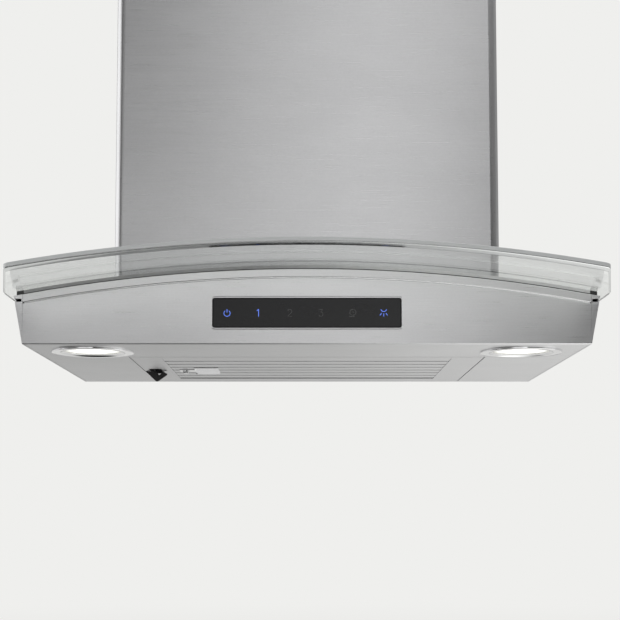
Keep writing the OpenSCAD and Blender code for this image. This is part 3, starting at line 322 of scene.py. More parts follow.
def chrome_plate(name):
    """Polished chrome plate: near mirror, with the faint haze that wiping leaves."""
    material, tree = new_material(name)
    haze = stretched_noise(tree, (14 * MM, 14 * MM, 9 * MM), detail=4.0)
    return principled(material, {
        "Base Color": shaded(tree, linear("#E2E2E3"), spread(tree, haze, 0.97, 1.02)), "Metallic": 1.0,
        "Roughness": spread(tree, haze, 0.03, 0.08)})


def moulded(name, colour, roughness, grain):
    """Moulded plastic or rubber with a fine erosion grain, a little uneven in tone as mouldings are."""
    material, tree = new_material(name)
    noise = stretched_noise(tree, (grain, grain, grain), detail=2.0)
    patches = stretched_noise(tree, (30 * MM, 30 * MM, 30 * MM), detail=2.0)
    bump = add_node(tree, "ShaderNodeBump", {"Height": noise, "Strength": 0.15, "Distance": 0.05 * MM})
    return principled(material, {
        "Base Color": shaded(tree, linear(colour), spread(tree, patches, 0.92, 1.08)),
        "Roughness": spread(tree, noise, roughness - 0.04, roughness + 0.06),
        "Normal": bump.outputs["Normal"]})


def strip_seal(name, reach, arch_radius, shadow_line_height=1.1 * MM):
    """Silicone strip under the glass: a little glossy, with black pads at its two ends. Its grey is
    painted light, paler to the right, where more light falls through it, and along its foot runs a black
    painted shadow line."""
    material, tree = new_material(name)
    place = object_place(tree)
    sideways = parts_of(tree, place)["X"]
    at_end = combined(tree, "GREATER_THAN", combined(tree, "ABSOLUTE", sideways), reach)
    from_centre = joined(tree, "MULTIPLY_ADD", place, (1, 0, 1), (0, 0, arch_radius - CANOPY_TOP))
    # Painted shadow: the strip's lowest band, along its foot by the rail, is marked here to be painted
    # black as the shadow line there.
    shadow_line_mask = combined(tree, "LESS_THAN", joined(tree, "LENGTH", from_centre), arch_radius + shadow_line_height)
    noise = stretched_noise(tree, (6 * MM, 2 * MM, 2 * MM))
    # Painted light: the grey rises from 0.25 on the left to 0.56 on the right, for the light that falls
    # through the strip on the right; the noise on it is the silicone's random mottle.
    pale = combined(tree, "MULTIPLY", smooth_step(tree, sideways, -0.06, 0.11, 0.25, 0.56),
                    spread(tree, noise, 0.92, 1.08))
    # Near black, for the real rubber pads at the two ends and for the painted shadow line along the
    # foot.
    black_pad_and_shadow = 0.015
    colour = blend(tree, combined(tree, "MAXIMUM", at_end, shadow_line_mask), pale, black_pad_and_shadow)
    return principled(material, {
        "Base Color": colour, "Roughness": spread(tree, noise, 0.3, 0.42)})


def black_window(name, low, high, shadow_gap_width):
    """Back-printed black glass of the touch panel: a gloss face over a near black print. Along its
    border, where the glass sits in its frame, its reflection is turned down, a painted shadow gap that
    makes it blacker."""
    material, tree = new_material(name)
    smears = stretched_noise(tree, (40 * MM, 20 * MM, 12 * MM), detail=3.0)
    from_middle = joined(tree, "SUBTRACT", object_place(tree), (low + high) / 2)
    away = parts_of(tree, joined(tree, "ABSOLUTE", from_middle))
    half = (high - low) / 2
    # Painted shade: mask of the band along the border, where the reflection is turned down for the
    # shadow gap at the frame.
    shadow_gap_mask = combined(tree, "MAXIMUM", combined(tree, "GREATER_THAN", away["X"], half.x - shadow_gap_width),
                       combined(tree, "GREATER_THAN", away["Z"], half.z - shadow_gap_width))
    return principled(material, {
        "Base Color": shaded(tree, linear("#141415"), spread(tree, smears, 0.94, 1.06)),
        "Roughness": spread(tree, smears, 0.08, 0.14),
        "Specular IOR Level": smooth_step(tree, shadow_gap_mask, 0.0, 1.0, 0.27, 0.05)})


def clear_glass(name, colour):
    """Tempered float glass: clear, with a cool tint, and it lets most of a lamp's light pass."""
    material, tree = new_material(name)
    shader = add_node(tree, "ShaderNodeBsdfPrincipled", {
        "Base Color": colour, "Roughness": 0.0, "IOR": 1.52, "Transmission Weight": 1.0})
    passing = add_node(tree, "ShaderNodeBsdfTransparent", {"Color": linear("#EEF2F0")})
    rays = add_node(tree, "ShaderNodeLightPath")
    mix = add_node(tree, "ShaderNodeMixShader", {
        0: rays.outputs["Is Shadow Ray"], 1: shader.outputs["BSDF"], 2: passing.outputs["BSDF"]})
    finish_surface(tree, mix.outputs["Shader"])
    return material


def ground_glass(name, colour):
    """Ground glass edge: its fine scatter makes it a pale satin line against the clear sheet."""
    material, tree = new_material(name)
    noise = stretched_noise(tree, (25 * MM, 2 * MM, 2 * MM), detail=3.0)
    return principled(material, {
        "Base Color": shaded(tree, colour, spread(tree, noise, 0.93, 1.04)),
        "Roughness": spread(tree, noise, 0.2, 0.32), "IOR": 1.52})


def polished_bevel(name):
    """Polished bevel of the glass: seen this flat it throws back all light, so it is a bright line."""
    material, tree = new_material(name)
    noise = stretched_noise(tree, (30 * MM, 4 * MM, 4 * MM), detail=3.0)
    return principled(material, {
        "Base Color": shaded(tree, linear("#E9EBEB"), spread(tree, noise, 0.94, 1.0)), "Metallic": 1.0,
        "Roughness": spread(tree, noise, 0.12, 0.2)})


def lit_surface(name, colour, strength, grain):
    """A printed or frosted surface with light behind it, a little uneven as light guides are."""
    material, tree = new_material(name)
    noise = stretched_noise(tree, (grain, grain, grain), detail=2.0)
    glow = shaded(tree, colour, spread(tree, noise, 0.93, 1.05))
    return principled(material, {
        "Base Color": colour, "Roughness": 0.35, "Emission Color": glow, "Emission Strength": strength})


def frosted_lens(name, centre, radius):
    """Frosted lens with light behind it: brightest over its chips in the middle, fading to its rim."""
    material, tree = new_material(name)
    folded = joined(tree, "ABSOLUTE", object_place(tree))
    away = joined(tree, "SUBTRACT", folded, (abs(centre[0]), abs(centre[1]), 0))
    distance = joined(tree, "LENGTH", joined(tree, "MULTIPLY", away, (1, 1, 0)))
    noise = stretched_noise(tree, (12 * MM, 12 * MM, 12 * MM))
    core, rim = 0.4 * radius, 0.98 * radius
    glow = combined(tree, "MULTIPLY", smooth_step(tree, distance, core, rim, 1.5, 0.3),
                    spread(tree, noise, 0.93, 1.05))
    return principled(material, {
        "Base Color": linear("#F4F4EE"), "Roughness": 0.3, "Emission Color": linear("#FFFEF8"),
        "Emission Strength": glow})


def circuit_board(name):
    """Green solder mask over glass cloth, with paler copper runs under it."""
    material, tree = new_material(name)
    runs = add_node(tree, "ShaderNodeTexBrick", {
        "Vector": object_place(tree), "Scale": 1 / (40 * MM), "Color1": linear("#1C6B3C"),
        "Color2": linear("#17603A"), "Mortar": linear("#3E8F55"), "Mortar Size": 0.02})
    return principled(material, {
        "Base Color": runs.outputs["Color"], "Roughness": 0.32})


def surface_object(name, points, faces, materials, body, finish_of=None):
    """Make a finished piece from points and faces, and let it ride on a body.

    finish_of gives each face's place in the list of materials, where there is more than one.
    """
    mesh = bpy.data.meshes.new(name)
    mesh.from_pydata(np.asarray(points).reshape(-1, 3).tolist(), [], [list(f) for f in faces])
    for material in materials:
        mesh.materials.append(material)
    if finish_of is not None:
        mesh.polygons.foreach_set("material_index", finish_of)
    piece = bpy.data.objects.new(name, mesh)
    bpy.context.scene.collection.objects.link(piece)
    tidy_mesh(piece)
    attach(piece, body)
    return piece


def softened(node, name, radius):
    """A copy of a sheet node whose folded and cut edges are rounded, as pressing leaves them.

    The copy's triangles are merged and its flat faces joined. A Bevel modifier then rounds the edges
    that turn by more than 40 degrees; on the sheets that lie flush with each other in the front, those
    are only the front edges that run across. A Weighted Normal modifier keeps the flat faces flat.
    """
    original = frame["nodes"][node]
    mesh = original.data.copy()
    mesh.name = name
    work = bmesh.new()
    work.from_mesh(mesh)
    bmesh.ops.remove_doubles(work, verts=work.verts, dist=2e-6)
    bmesh.ops.dissolve_degenerate(work, edges=work.edges, dist=1e-6)
    bmesh.ops.dissolve_limit(work, angle_limit=math.radians(0.2), verts=work.verts, edges=work.edges)
    weight = work.edges.layers.float.new("bevel_weight_edge")
    for edge in work.edges:
        turns = len(edge.link_faces) == 2 and edge.calc_face_angle(0) > FOLDED
        start, end = (vert.co for vert in edge.verts)
        runs_across = abs(end.x - start.x) > 0.7 * edge.calc_length()
        in_front = runs_across and max(start.y, end.y) < FRONT_Y + 0.1 * MM
        edge[weight] = float(turns and (in_front or node not in FLUSH_IN_FRONT))
    work.to_mesh(mesh)
    work.free()
    mesh.polygons.foreach_set("use_smooth", [True] * len(mesh.polygons))
    mesh.set_sharp_from_angle(angle=SHARP)
    piece = bpy.data.objects.new(name, mesh)
    bpy.context.scene.collection.objects.link(piece)
    rounding = piece.modifiers.new("rounded_edges", "BEVEL")
    rounding.width, rounding.segments = radius, 2
    rounding.limit_method = "WEIGHT"
    rounding.use_clamp_overlap = False
    flat_faces = piece.modifiers.new("flat_faces", "WEIGHTED_NORMAL")
    flat_faces.weight, flat_faces.keep_sharp = 100, True
    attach(piece, BODY_OF[node])
    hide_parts(node)
    return piece


def tidy_mesh(piece):
    """Merge doubles, turn all faces outwards and shade smooth, apart from the sharp edges."""
    work = bmesh.new()
    work.from_mesh(piece.data)
    bmesh.ops.remove_doubles(work, verts=work.verts, dist=1e-7)
    bmesh.ops.dissolve_degenerate(work, edges=work.edges, dist=1e-7)
    bmesh.ops.recalc_face_normals(work, faces=work.faces)
    work.to_mesh(piece.data)
    work.free()
    piece.data.polygons.foreach_set("use_smooth", [True] * len(piece.data.polygons))
    piece.data.set_sharp_from_angle(angle=SHARP)


def grid_faces(rows, columns, close_rows=False, close_columns=False):
    """Quads of a grid of points, joined end to end in either direction where asked."""
    i = np.arange(rows if close_rows else rows - 1)
    j = np.arange(columns if close_columns else columns - 1)
    i, j = (a.ravel() for a in np.meshgrid(i, j, indexing="ij"))
    up, across = (i + 1) % rows, (j + 1) % columns
    return np.stack([i * columns + j, i * columns + across, up * columns + across, up * columns + j], 1)


def arc_points(centre, radius, start, end, count):
    """Points of an arc from start to end, in degrees."""
    a = np.radians(np.linspace(start, end, count))
    return np.stack([centre[0] + radius * np.cos(a), centre[1] + radius * np.sin(a)], 1)


def revolve(profile, centre, count=192):
    """Carry a closed profile of radius and height round a vertical axis."""
    a = np.linspace(0, 2 * math.pi, count, endpoint=False)
    r, z = profile[:, 0], profile[:, 1]
    x = centre[0] + np.outer(np.cos(a), r)
    y = centre[1] + np.outer(np.sin(a), r)
    points = np.stack([x, y, np.broadcast_to(centre[2] + z, x.shape)], 2)
    return points, grid_faces(count, len(profile), close_rows=True, close_columns=True)


def rounded_corner(before, corner, after, radius, count):
    """Points of an outline's corner, rounded with a radius: an arc that touches both of its sides."""
    before, corner, after = (np.asarray(p, float) for p in (before, corner, after))
    u = (before - corner) / np.linalg.norm(before - corner)
    v = (after - corner) / np.linalg.norm(after - corner)
    half = math.acos(np.clip(u @ v, -1, 1)) / 2
    middle = (u + v) / np.linalg.norm(u + v)
    centre = corner + middle * radius / math.sin(half)
    start, end = corner + u * radius / math.tan(half), corner + v * radius / math.tan(half)
    a0 = math.atan2(*(start - centre)[::-1])
    a1 = math.atan2(*(end - centre)[::-1])
    turn = (a1 - a0 + math.pi) % (2 * math.pi) - math.pi
    a = np.linspace(a0, a0 + turn, count)
    return centre + radius * np.stack([np.cos(a), np.sin(a)], 1)


class HOOD_OT_sheets(bpy.types.Operator):
    """Finish the brushed sheets, the galvanised sheets and all other pieces that keep their form"""

    bl_idname = "hood.sheets"
    bl_label = "Sheets and inner pieces"

    def execute(self, context):
        steel = context.scene.hood_steel
        lens_low, lens_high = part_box("lamp_lens_right")
        # The first is the width of the touch window's painted shadow gap along its border; the second is
        # the length of the strip's black end pads.
        shadow_gap_width, pad = 1.1 * MM, 7 * MM
        finishes = {
            "brushed_stainless": brushed_steel("brushed_stainless_steel", steel),
            "filter_stainless": brushed_steel("satin_stainless_steel", steel, tint=0.97),
            "galvanised_steel": zinc_sheet("galvanised_steel"),
            "chrome_plate": chrome_plate("polished_chrome"),
            "clear_glass": clear_glass("float_glass", context.scene.hood_glass.colour),
            "black_glass": black_window("back_printed_glass", *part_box("touch_window"), shadow_gap_width),
            "frosted_lens": frosted_lens("frosted_lens_glass", (lens_low + lens_high) / 2,
                                         (lens_high.x - lens_low.x) / 2),
            "black_rubber": moulded("moulded_black_rubber", "#1C1C1C", 0.72, 0.6 * MM),
            "black_plastic": moulded("moulded_black_nylon", "#202021", 0.5, 0.5 * MM),
            "grey_plastic": moulded("moulded_pale_plastic", "#D6D6D0", 0.45, 0.5 * MM),
            "cast_aluminium": cast_metal("satin_aluminium", "#B9BBBE", 0.38, 1.2 * MM),
            "circuit_board": circuit_board("solder_mask"),
        }
        for node, piece in frame["nodes"].items():
            piece.data.materials.clear()
            piece.data.materials.append(finishes[SLOT_OF[node]])
        seal = strip_seal("silicone_strip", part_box("glass_gasket")[1].x - pad,
                          context.scene.hood_glass.arch_radius)
        frame["nodes"]["glass_gasket"].data.materials[0] = seal
        # Painted highlight: the frame's steel is 1.16 times as bright as the sheets', for the light that
        # its edge round the window catches.
        frame["nodes"]["touch_bezel"].data.materials[0] = brushed_steel(
            "stainless_frame_painted_highlight", steel, tint=1.16, roughness=0.26)
        return {"FINISHED"}


class HOOD_OT_edges(bpy.types.Operator):
    """Round the edges of the sheets that show, so that they catch the light"""

    bl_idname = "hood.edges"
    bl_label = "Rounded sheet edges"

    def execute(self, context):
        for node, share in SOFTENED.items():
            softened(node, node + "_sheet", share * context.scene.hood_steel.edge)
        return {"FINISHED"}


# Sheets whose edges are rounded, each with its share of the edge radius
SOFTENED = {
    "front_panel": 2.2, "trim_rail": 1.6, "bottom_panel": 1.0, "lower_chimney": 0.7,
    "upper_chimney": 0.7,
}
# Sheets that lie flush with others in the front, so that only their front edges are rounded
FLUSH_IN_FRONT = ("front_panel", "trim_rail")


class HOOD_OT_seam(bpy.types.Operator):
    """Make the polished bead that shows in the seam between the trim rail and the front panel"""

    bl_idname = "hood.seam"
    bl_label = "Seam bead"

    def execute(self, context):
        points, faces = seam_bead(context.scene.hood_glass.arch_radius, context.scene.hood_steel.seam)
        surface_object("seam_bead", points, faces, [bpy.data.materials["polished_chrome"]], "hood")
        return {"FINISHED"}


def seam_bead(arch_radius, seam):
    """A round rod carried along the arch, just behind the seam.

    At an angle t from the arch's middle the rod's centre lies at r sin t and r cos t from the arch's
    centre, where r is the radius of the seam's middle.
    """
    sides, columns = 16, 241
    rod, depth = 0.55 * MM, 0.75 * MM
    far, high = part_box("front_panel")[1].x - 1.5 * MM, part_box("front_panel")[1].z
    middle = arch_radius - CANOPY_TOP + high + seam / 2
    t = np.linspace(-1, 1, columns)[:, None] * math.asin(far / middle)
    a = np.linspace(0, 2 * math.pi, sides, endpoint=False)
    r = middle + rod * np.sin(a)
    y = np.broadcast_to(FRONT_Y + depth - rod * np.cos(a), (columns, sides))
    points = np.stack([r * np.sin(t), y, CANOPY_TOP - arch_radius + r * np.cos(t)], 2)
    last = (columns - 1) * sides
    faces = list(grid_faces(columns, sides, close_columns=True))
    return points, faces + [list(range(sides)), list(range(last, last + sides))]


class HOOD_OT_glass(bpy.types.Operator):
    """Make the arched glass with its polished edges and its shallow front bevel"""

    bl_idname = "hood.glass"
    bl_label = "Arched glass"

    def execute(self, context):
        settings = context.scene.hood_glass
        points, faces, finish_of = glass_surface(settings)
        finishes = [bpy.data.materials["float_glass"],
                    ground_glass("ground_glass_edge", settings.edge_colour),
                    polished_bevel("polished_glass_bevel")]
        piece = surface_object("glass_sheet", points, faces, finishes, "hood", finish_of)
        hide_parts("glass_canopy")
        return {"FINISHED"}


def glass_surface(settings):
    """A slab's section in depth and height, carried from side to side over the arch.

    Each column of the grid is the closed section at one x: along the top, round the front edge, up the
    bevel under it, back along the bottom and up the rear edge. The section's front follows the glass's
    outline, its rear steps back where the blower box stands, and its corners are rounded by the arris.
    A point's height is the arch's, sqrt((R + offset)^2 - x^2), over the arch's centre.
    """
    side, nose, canopy_depth = GLASS_HIGH.x, -GLASS_LOW.y, -FRONT_Y
    slant, side_corner, front_corner, clearance = 24 * MM, 28 * MM, 7 * MM, 2 * MM
    arris, steps, middle_columns, corner_columns = settings.arris, 5, 60, 16
    top = settings.arch_radius + (GLASS_HIGH.z - CANOPY_TOP)
    centre_z, low = GLASS_HIGH.z - top, top - settings.thickness

    shoulder, tip = (side, canopy_depth), (side - slant, nose)
    outline = np.concatenate([
        rounded_corner((side, 0), shoulder, tip, side_corner, corner_columns),
        rounded_corner(shoulder, tip, (0, nose), front_corner, corner_columns)])
    xs, fronts = outline[::-1, 0], outline[::-1, 1]
    keep = np.concatenate([[True], np.diff(xs) > 1e-6])
    xs, fronts = xs[keep], fronts[keep]
    xs = np.concatenate([np.linspace(0, xs[0], middle_columns, endpoint=False), xs])
    fronts = np.concatenate([np.full(middle_columns, nose), fronts])

    turn = np.linspace(0, math.pi / 2, steps)
    inner = xs < side - arris - 1e-5
    half_x = np.concatenate([xs[inner], side - arris + arris * np.sin(turn)])
    half_front = np.interp(half_x, xs, fronts)
    half_push = np.concatenate([np.zeros(inner.sum()), arris * (1 - np.cos(turn))])
    notch_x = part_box("blower_box")[1].x + clearance
    notch_depth = -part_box("blower_box")[0].y + clearance
    at = np.searchsorted(half_x, notch_x)
    notch_front = np.interp(notch_x, half_x, half_front)
    half_x = np.insert(half_x, [at, at], notch_x)
    half_front = np.insert(half_front, [at, at], notch_front)
    half_push = np.insert(half_push, [at, at], 0.0)
    half_back = np.where(np.arange(len(half_x)) <= at, notch_depth, 0.0)
    x = np.concatenate([-half_x[:0:-1], half_x])
    front, back, push = (np.concatenate([half[:0:-1], half])
                         for half in (half_front, half_back, half_push))

    low_front = low + settings.bevel_rise
    hold, bevel = 3 * arris, settings.bevel_length
    slope = settings.bevel_rise / (bevel - arris)
    section = [("back", hold, top)]
    for a in turn[::-1]:
        section.append(("back", arris * (1 - math.cos(a)), top - arris + arris * math.sin(a)))
    section = section[::-1] + [("front", hold, top)]
    for a in turn:
        section.append(("front", arris * (1 - math.sin(a)), top - arris + arris * math.cos(a)))
    top_edge = len(section)
    section.append(("front", 0.0, top - settings.ground_share * (top - low_front)))
    for a in turn[::-1]:
        section.append(("front", arris * (1 - math.sin(a)), low_front + arris - arris * math.cos(a)))
    low_edge = len(section) - steps
    for inset in (hold, bevel - 0.5 * arris):
        section.append(("front", inset, low + slope * (bevel - inset)))
    bevel_end = len(section)
    section += [("front", bevel + 0.5 * arris, low), ("front", bevel + hold, low), ("back", hold, low)]
    for a in turn[::-1]:
        section.append(("back", arris * (1 - math.cos(a)), low + arris - arris * math.sin(a)))

    columns = []
    for edge, inset, radius in section:
        depth = back + inset if edge == "back" else front - inset
        height = np.clip(radius, low + push, top - push)
        columns.append(np.stack([x, -depth, centre_z + np.sqrt(height ** 2 - x ** 2)], 1))
    points = np.stack(columns, 1)
    count, last = len(section), (len(x) - 1) * len(section)
    faces = list(grid_faces(len(x), count, close_columns=True))
    faces += [list(range(count)), list(range(last, last + count))]
    clear, ground, polished = 0, 1, 2
    row = np.arange(count)
    finish = np.where((row >= top_edge - steps) & (row < top_edge), ground, clear)
    finish = np.where((row >= low_edge) & (row < bevel_end), polished, finish)
    return points, faces, np.concatenate([np.tile(finish, len(x) - 1), [ground, ground]])


class HOOD_OT_lamps(bpy.types.Operator):
    """Make the two chrome lamp rings and their frosted, slightly domed lenses"""

    bl_idname = "hood.lamps"
    bl_label = "Lamps"

    def execute(self, context):
        for side in ("left", "right"):
            low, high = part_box("lamp_ring_" + side)
            centre = ((low.x + high.x) / 2, (low.y + high.y) / 2, UNDERSIDE_Z)
            points, faces = revolve(ring_profile(high.x - centre[0], low.z, high.z), centre)
            ring = surface_object("lamp_bezel_" + side, points, faces,
                                  [bpy.data.materials["polished_chrome"]], "hood")
            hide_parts("lamp_ring_" + side)
            low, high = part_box("lamp_lens_" + side)
            points, faces = revolve(lens_profile(high.x - centre[0], low.z, high.z), centre)
            lens = surface_object("lamp_glass_" + side, points, faces,
                                  [bpy.data.materials["frosted_lens_glass"]], "hood")
            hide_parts("lamp_lens_" + side)
        return {"FINISHED"}


def ring_profile(radius, drop, top):
    """Closed profile of a lamp ring in radius and height, from its outer edge inwards and up its neck.

    The face under the sheet is a flat band with a round outer edge, and a polished cone leads from it
    up to the lens.
    """
    opening, neck = radius - 13 * MM, radius - 7.8 * MM
    edge, cone_width, foot, wall = 0.6 * MM, 4.2 * MM, 0.4 * MM, 3.8 * MM
    outer = arc_points((radius - edge, drop + edge), edge, 0, -90, 7)
    inner = arc_points((opening + cone_width, drop + edge), edge, -90, -150, 6)
    cone = [(opening, -foot), (opening, 0.0)]
    seat = [(neck - wall, 0.0), (neck - wall, top), (neck, top), (neck, 0.0), (radius, 0.0)]
    return np.concatenate([outer, inner, cone, seat])


def lens_profile(radius, low, high):
    """Closed profile of a lens: a flat back, a rounded rim, and a face that bulges like a shallow bowl.

    The face's height falls by the dome's rise times 1 - (r / R) squared.
    """
    tiny, rise, rim = 0.05 * MM, 0.3 * (high - low), 0.35 * (high - low)
    r = np.linspace(tiny, radius - rim, 14)
    face = np.stack([r, low + rise * (r / (radius - rim)) ** 2], 1)
    edge = arc_points((radius - rim, low + rise + rim), rim, -90, 0, 5)
    back = np.array([(radius, high), (0.5 * radius, high), (tiny, high)])
    return np.concatenate([face, edge[1:], back])


def strokes_of(sign):
    """Centre lines of a sign, on a square from -1 to 1."""
    return {
        "power": [arc_points((0, -0.12), 0.82, 128, 412, 24), np.array([(0, 0.1), (0, 0.95)])],
        "one": [np.array([(-0.38, 0.55), (0.02, 0.95), (0.06, 0.9), (0.06, -1.0)])],
        "two": [np.concatenate([
            arc_points((0, 0.42), 0.52, 165, -40, 14), [(-0.5, -0.95), (0.56, -0.95)]])],
        "three": [np.array([(-0.45, 0.92), (0.45, 0.92), (0.0, 0.2)]),
                  arc_points((-0.06, -0.38), 0.58, 80, -150, 16)],
        "timer": [arc_points((0.12, 0.12), 0.8, 250, -100, 24),
                  np.array([(0.12, 0.6), (0.12, 0.1), (0.5, 0.1)]),
                  np.array([(-0.95, 0.05), (-0.68, -0.3), (-0.35, 0.0)]),
                  np.array([(-0.9, -0.98), (0.6, -0.98)])],
        "light": [arc_points((0, 1.12), 0.78, 195, 345, 14), np.array([(0.0, -0.15), (0.0, -0.95)]),
                  np.array([(-0.6, -0.1), (-1.0, -0.68)]), np.array([(0.6, -0.1), (1.0, -0.68)])]
    }[sign]


def ribbon(line, width):
    """A flat band along a line: each point is moved to both sides along the line's normal there."""
    step = np.gradient(line, axis=0)
    length = np.linalg.norm(step, axis=1, keepdims=True)
    normal = np.stack([-step[:, 1], step[:, 0]], 1) / np.maximum(length, 1e-9)
    return line + normal * width / 2, line - normal * width / 2


class HOOD_OT_signs(bpy.types.Operator):
    """Draw the touch panel's signs as thin raised prints"""

    bl_idname = "hood.signs"
    bl_label = "Touch signs"

    def execute(self, context):
        settings = context.scene.hood_panel
        low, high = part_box("touch_window")
        middle = ((low.x + high.x) / 2, (low.z + high.z) / 2)
        materials = {
            True: lit_surface("lit_sign_print", settings.lit, 0.7, 2 * MM),
            False: lit_surface("dim_sign_print", settings.dim, 0.0, 2 * MM)}
        signs = [("power", True), ("one", True), ("two", False), ("three", False), ("timer", False),
                 ("light", True)]
        for i, (sign, lit) in enumerate(signs):
            x = middle[0] + settings.first + i * settings.pitch
            points, faces = sign_mesh(sign, (x, low.y, middle[1]), settings)
            surface_object("sign_" + sign, points, faces, [materials[lit]], "hood")
        return {"FINISHED"}


def sign_mesh(sign, place, settings):
    """The bands of a sign's strokes as thin plates on the window's face."""
    proud = 0.04 * MM
    points, faces = [], []
    for line in strokes_of(sign):
        left, right = ribbon(line * settings.height / 2, settings.stroke)
        ring = np.stack([left, right, right, left], 1)
        depth = np.array([-proud, -proud, proud, proud])
        block = np.stack([place[0] + ring[..., 0], np.broadcast_to(place[1] + depth, ring.shape[:2]),
                          place[2] + ring[..., 1]], 2).reshape(-1, 3)
        start = sum(len(p) for p in points)
        faces += [start + f for f in grid_faces(len(line), 4, close_columns=True)]
        faces += [start + np.arange(4), start + len(block) - 4 + np.arange(4)]
        points.append(block)
    return np.concatenate(points), faces


# Brightness of the mirrored surround at angles in degrees, from straight ahead towards the right
STUDIO_LEVELS = [
    (-180, 0.5), (-150, 0.3), (-138, 1.4), (-74, 1.6), (-60, 0.15), (-38, 0.2), (-27, 1.15), (-14, 1.05),
    (-7, 0.9), (-1, 1.16), (3, 1.28), (6.5, 1.26), (8.3, 0.85), (9.6, 0.05), (12, 0.0), (60, 0.03),
    (84, 0.06), (94, 0.42), (150, 0.45), (180, 0.5)]
BRIGHTEST = 1.6


class HOOD_OT_stage(bpy.types.Operator):
    """Set up the floor, the soft lights and the camera"""

    bl_idname = "hood.stage"
    bl_label = "Stage"

    def execute(self, context):
        settings = context.scene.hood_stage
        make_world(context.scene, settings.pale)
        make_floor(settings)
        soft_light("front_softbox", (0.3, -2.6, 1.9), (0, -0.2, 0.1), (2.2, 1.0), 9)
        soft_light("left_softbox", (-2.4, -1.2, 1.2), (0, -0.2, 0.1), (1.4, 1.4), 7)
        make_camera(context.scene, settings)
        return {"FINISHED"}


def shown_rays(tree):
    """1 for what the camera sees itself, in a reflection or through glass."""
    rays = add_node(tree, "ShaderNodeLightPath").outputs
    seen = combined(tree, "MAXIMUM", rays["Is Camera Ray"], rays["Is Transmission Ray"])
    return combined(tree, "MAXIMUM", seen, rays["Is Glossy Ray"]), seen


def levels_at(tree, value, stops):
    """Brightness that runs straight from stop to stop, for a value from 0 to 1."""
    ramp = add_node(tree, "ShaderNodeValToRGB", {"Fac": value})
    elements = ramp.color_ramp.elements
    elements.remove(elements[1])
    elements[0].position = stops[0][0]
    elements[0].color = (stops[0][1] / BRIGHTEST,) * 3 + (1,)
    for place, level in stops[1:]:
        elements.new(place).color = (level / BRIGHTEST,) * 3 + (1,)
    return combined(tree, "MULTIPLY", ramp.outputs["Color"], BRIGHTEST)


def make_world(scene, pale):
    """A pale surround: plain to the camera and through glass, and in reflections a soft studio.

    In reflections it is bright in the middle and falls off to both sides, faster to the right. Further
    round stand dark flags and one soft panel on the left, which draw the lines along rounded edges.
    From 8 to 17 degrees up its left half dims, and overhead it is dark on the left and bright on the
    right.
    """
    world = bpy.data.worlds.new("pale_surround")
    scene.world = world
    world.use_nodes = True
    tree = world.node_tree
    tree.nodes.clear()
    shown, seen = shown_rays(tree)
    part = parts_of(tree, add_node(tree, "ShaderNodeTexCoord").outputs["Generated"])
    forward = combined(tree, "MULTIPLY", part["Y"], -1.0)
    angle = combined(tree, "ARCTAN2", part["X"], forward)
    turned = combined(tree, "MULTIPLY_ADD", angle, 1 / (2 * math.pi), 0.5)
    round_about = levels_at(
        tree, turned, [(0.5 + degrees / 360, level) for degrees, level in STUDIO_LEVELS])
    left = combined(tree, "MAXIMUM", smooth_step(tree, part["X"], -0.17, 0.02, 0.0, 0.7),
                    smooth_step(tree, part["X"], -0.65, -0.45, 1.0, 0.0))
    high_up = blend(tree, smooth_step(tree, part["Z"], 0.13, 0.3), 1.0, left)
    level = combined(tree, "MULTIPLY", round_about, high_up)
    steep = smooth_step(tree, combined(tree, "ABSOLUTE", part["Z"]), 0.42, 0.75)
    level = blend(tree, steep, level, smooth_step(tree, part["X"], -0.12, 0.12, 0.15, 1.6))
    plain = add_node(tree, "ShaderNodeBackground", {"Color": pale, "Strength": 1.0})
    glossy = add_node(tree, "ShaderNodeBackground", {"Color": (1, 1, 1, 1), "Strength": level})
    light = add_node(tree, "ShaderNodeBackground", {"Color": (1, 1, 1, 1), "Strength": 0.85})
    mixed = add_node(tree, "ShaderNodeMixShader", {
        0: shown, 1: light.outputs["Background"], 2: glossy.outputs["Background"]})
    mixed = add_node(tree, "ShaderNodeMixShader", {
        0: seen, 1: mixed.outputs["Shader"], 2: plain.outputs["Background"]})
    add_node(tree, "ShaderNodeOutputWorld", {"Surface": mixed.outputs["Shader"]})


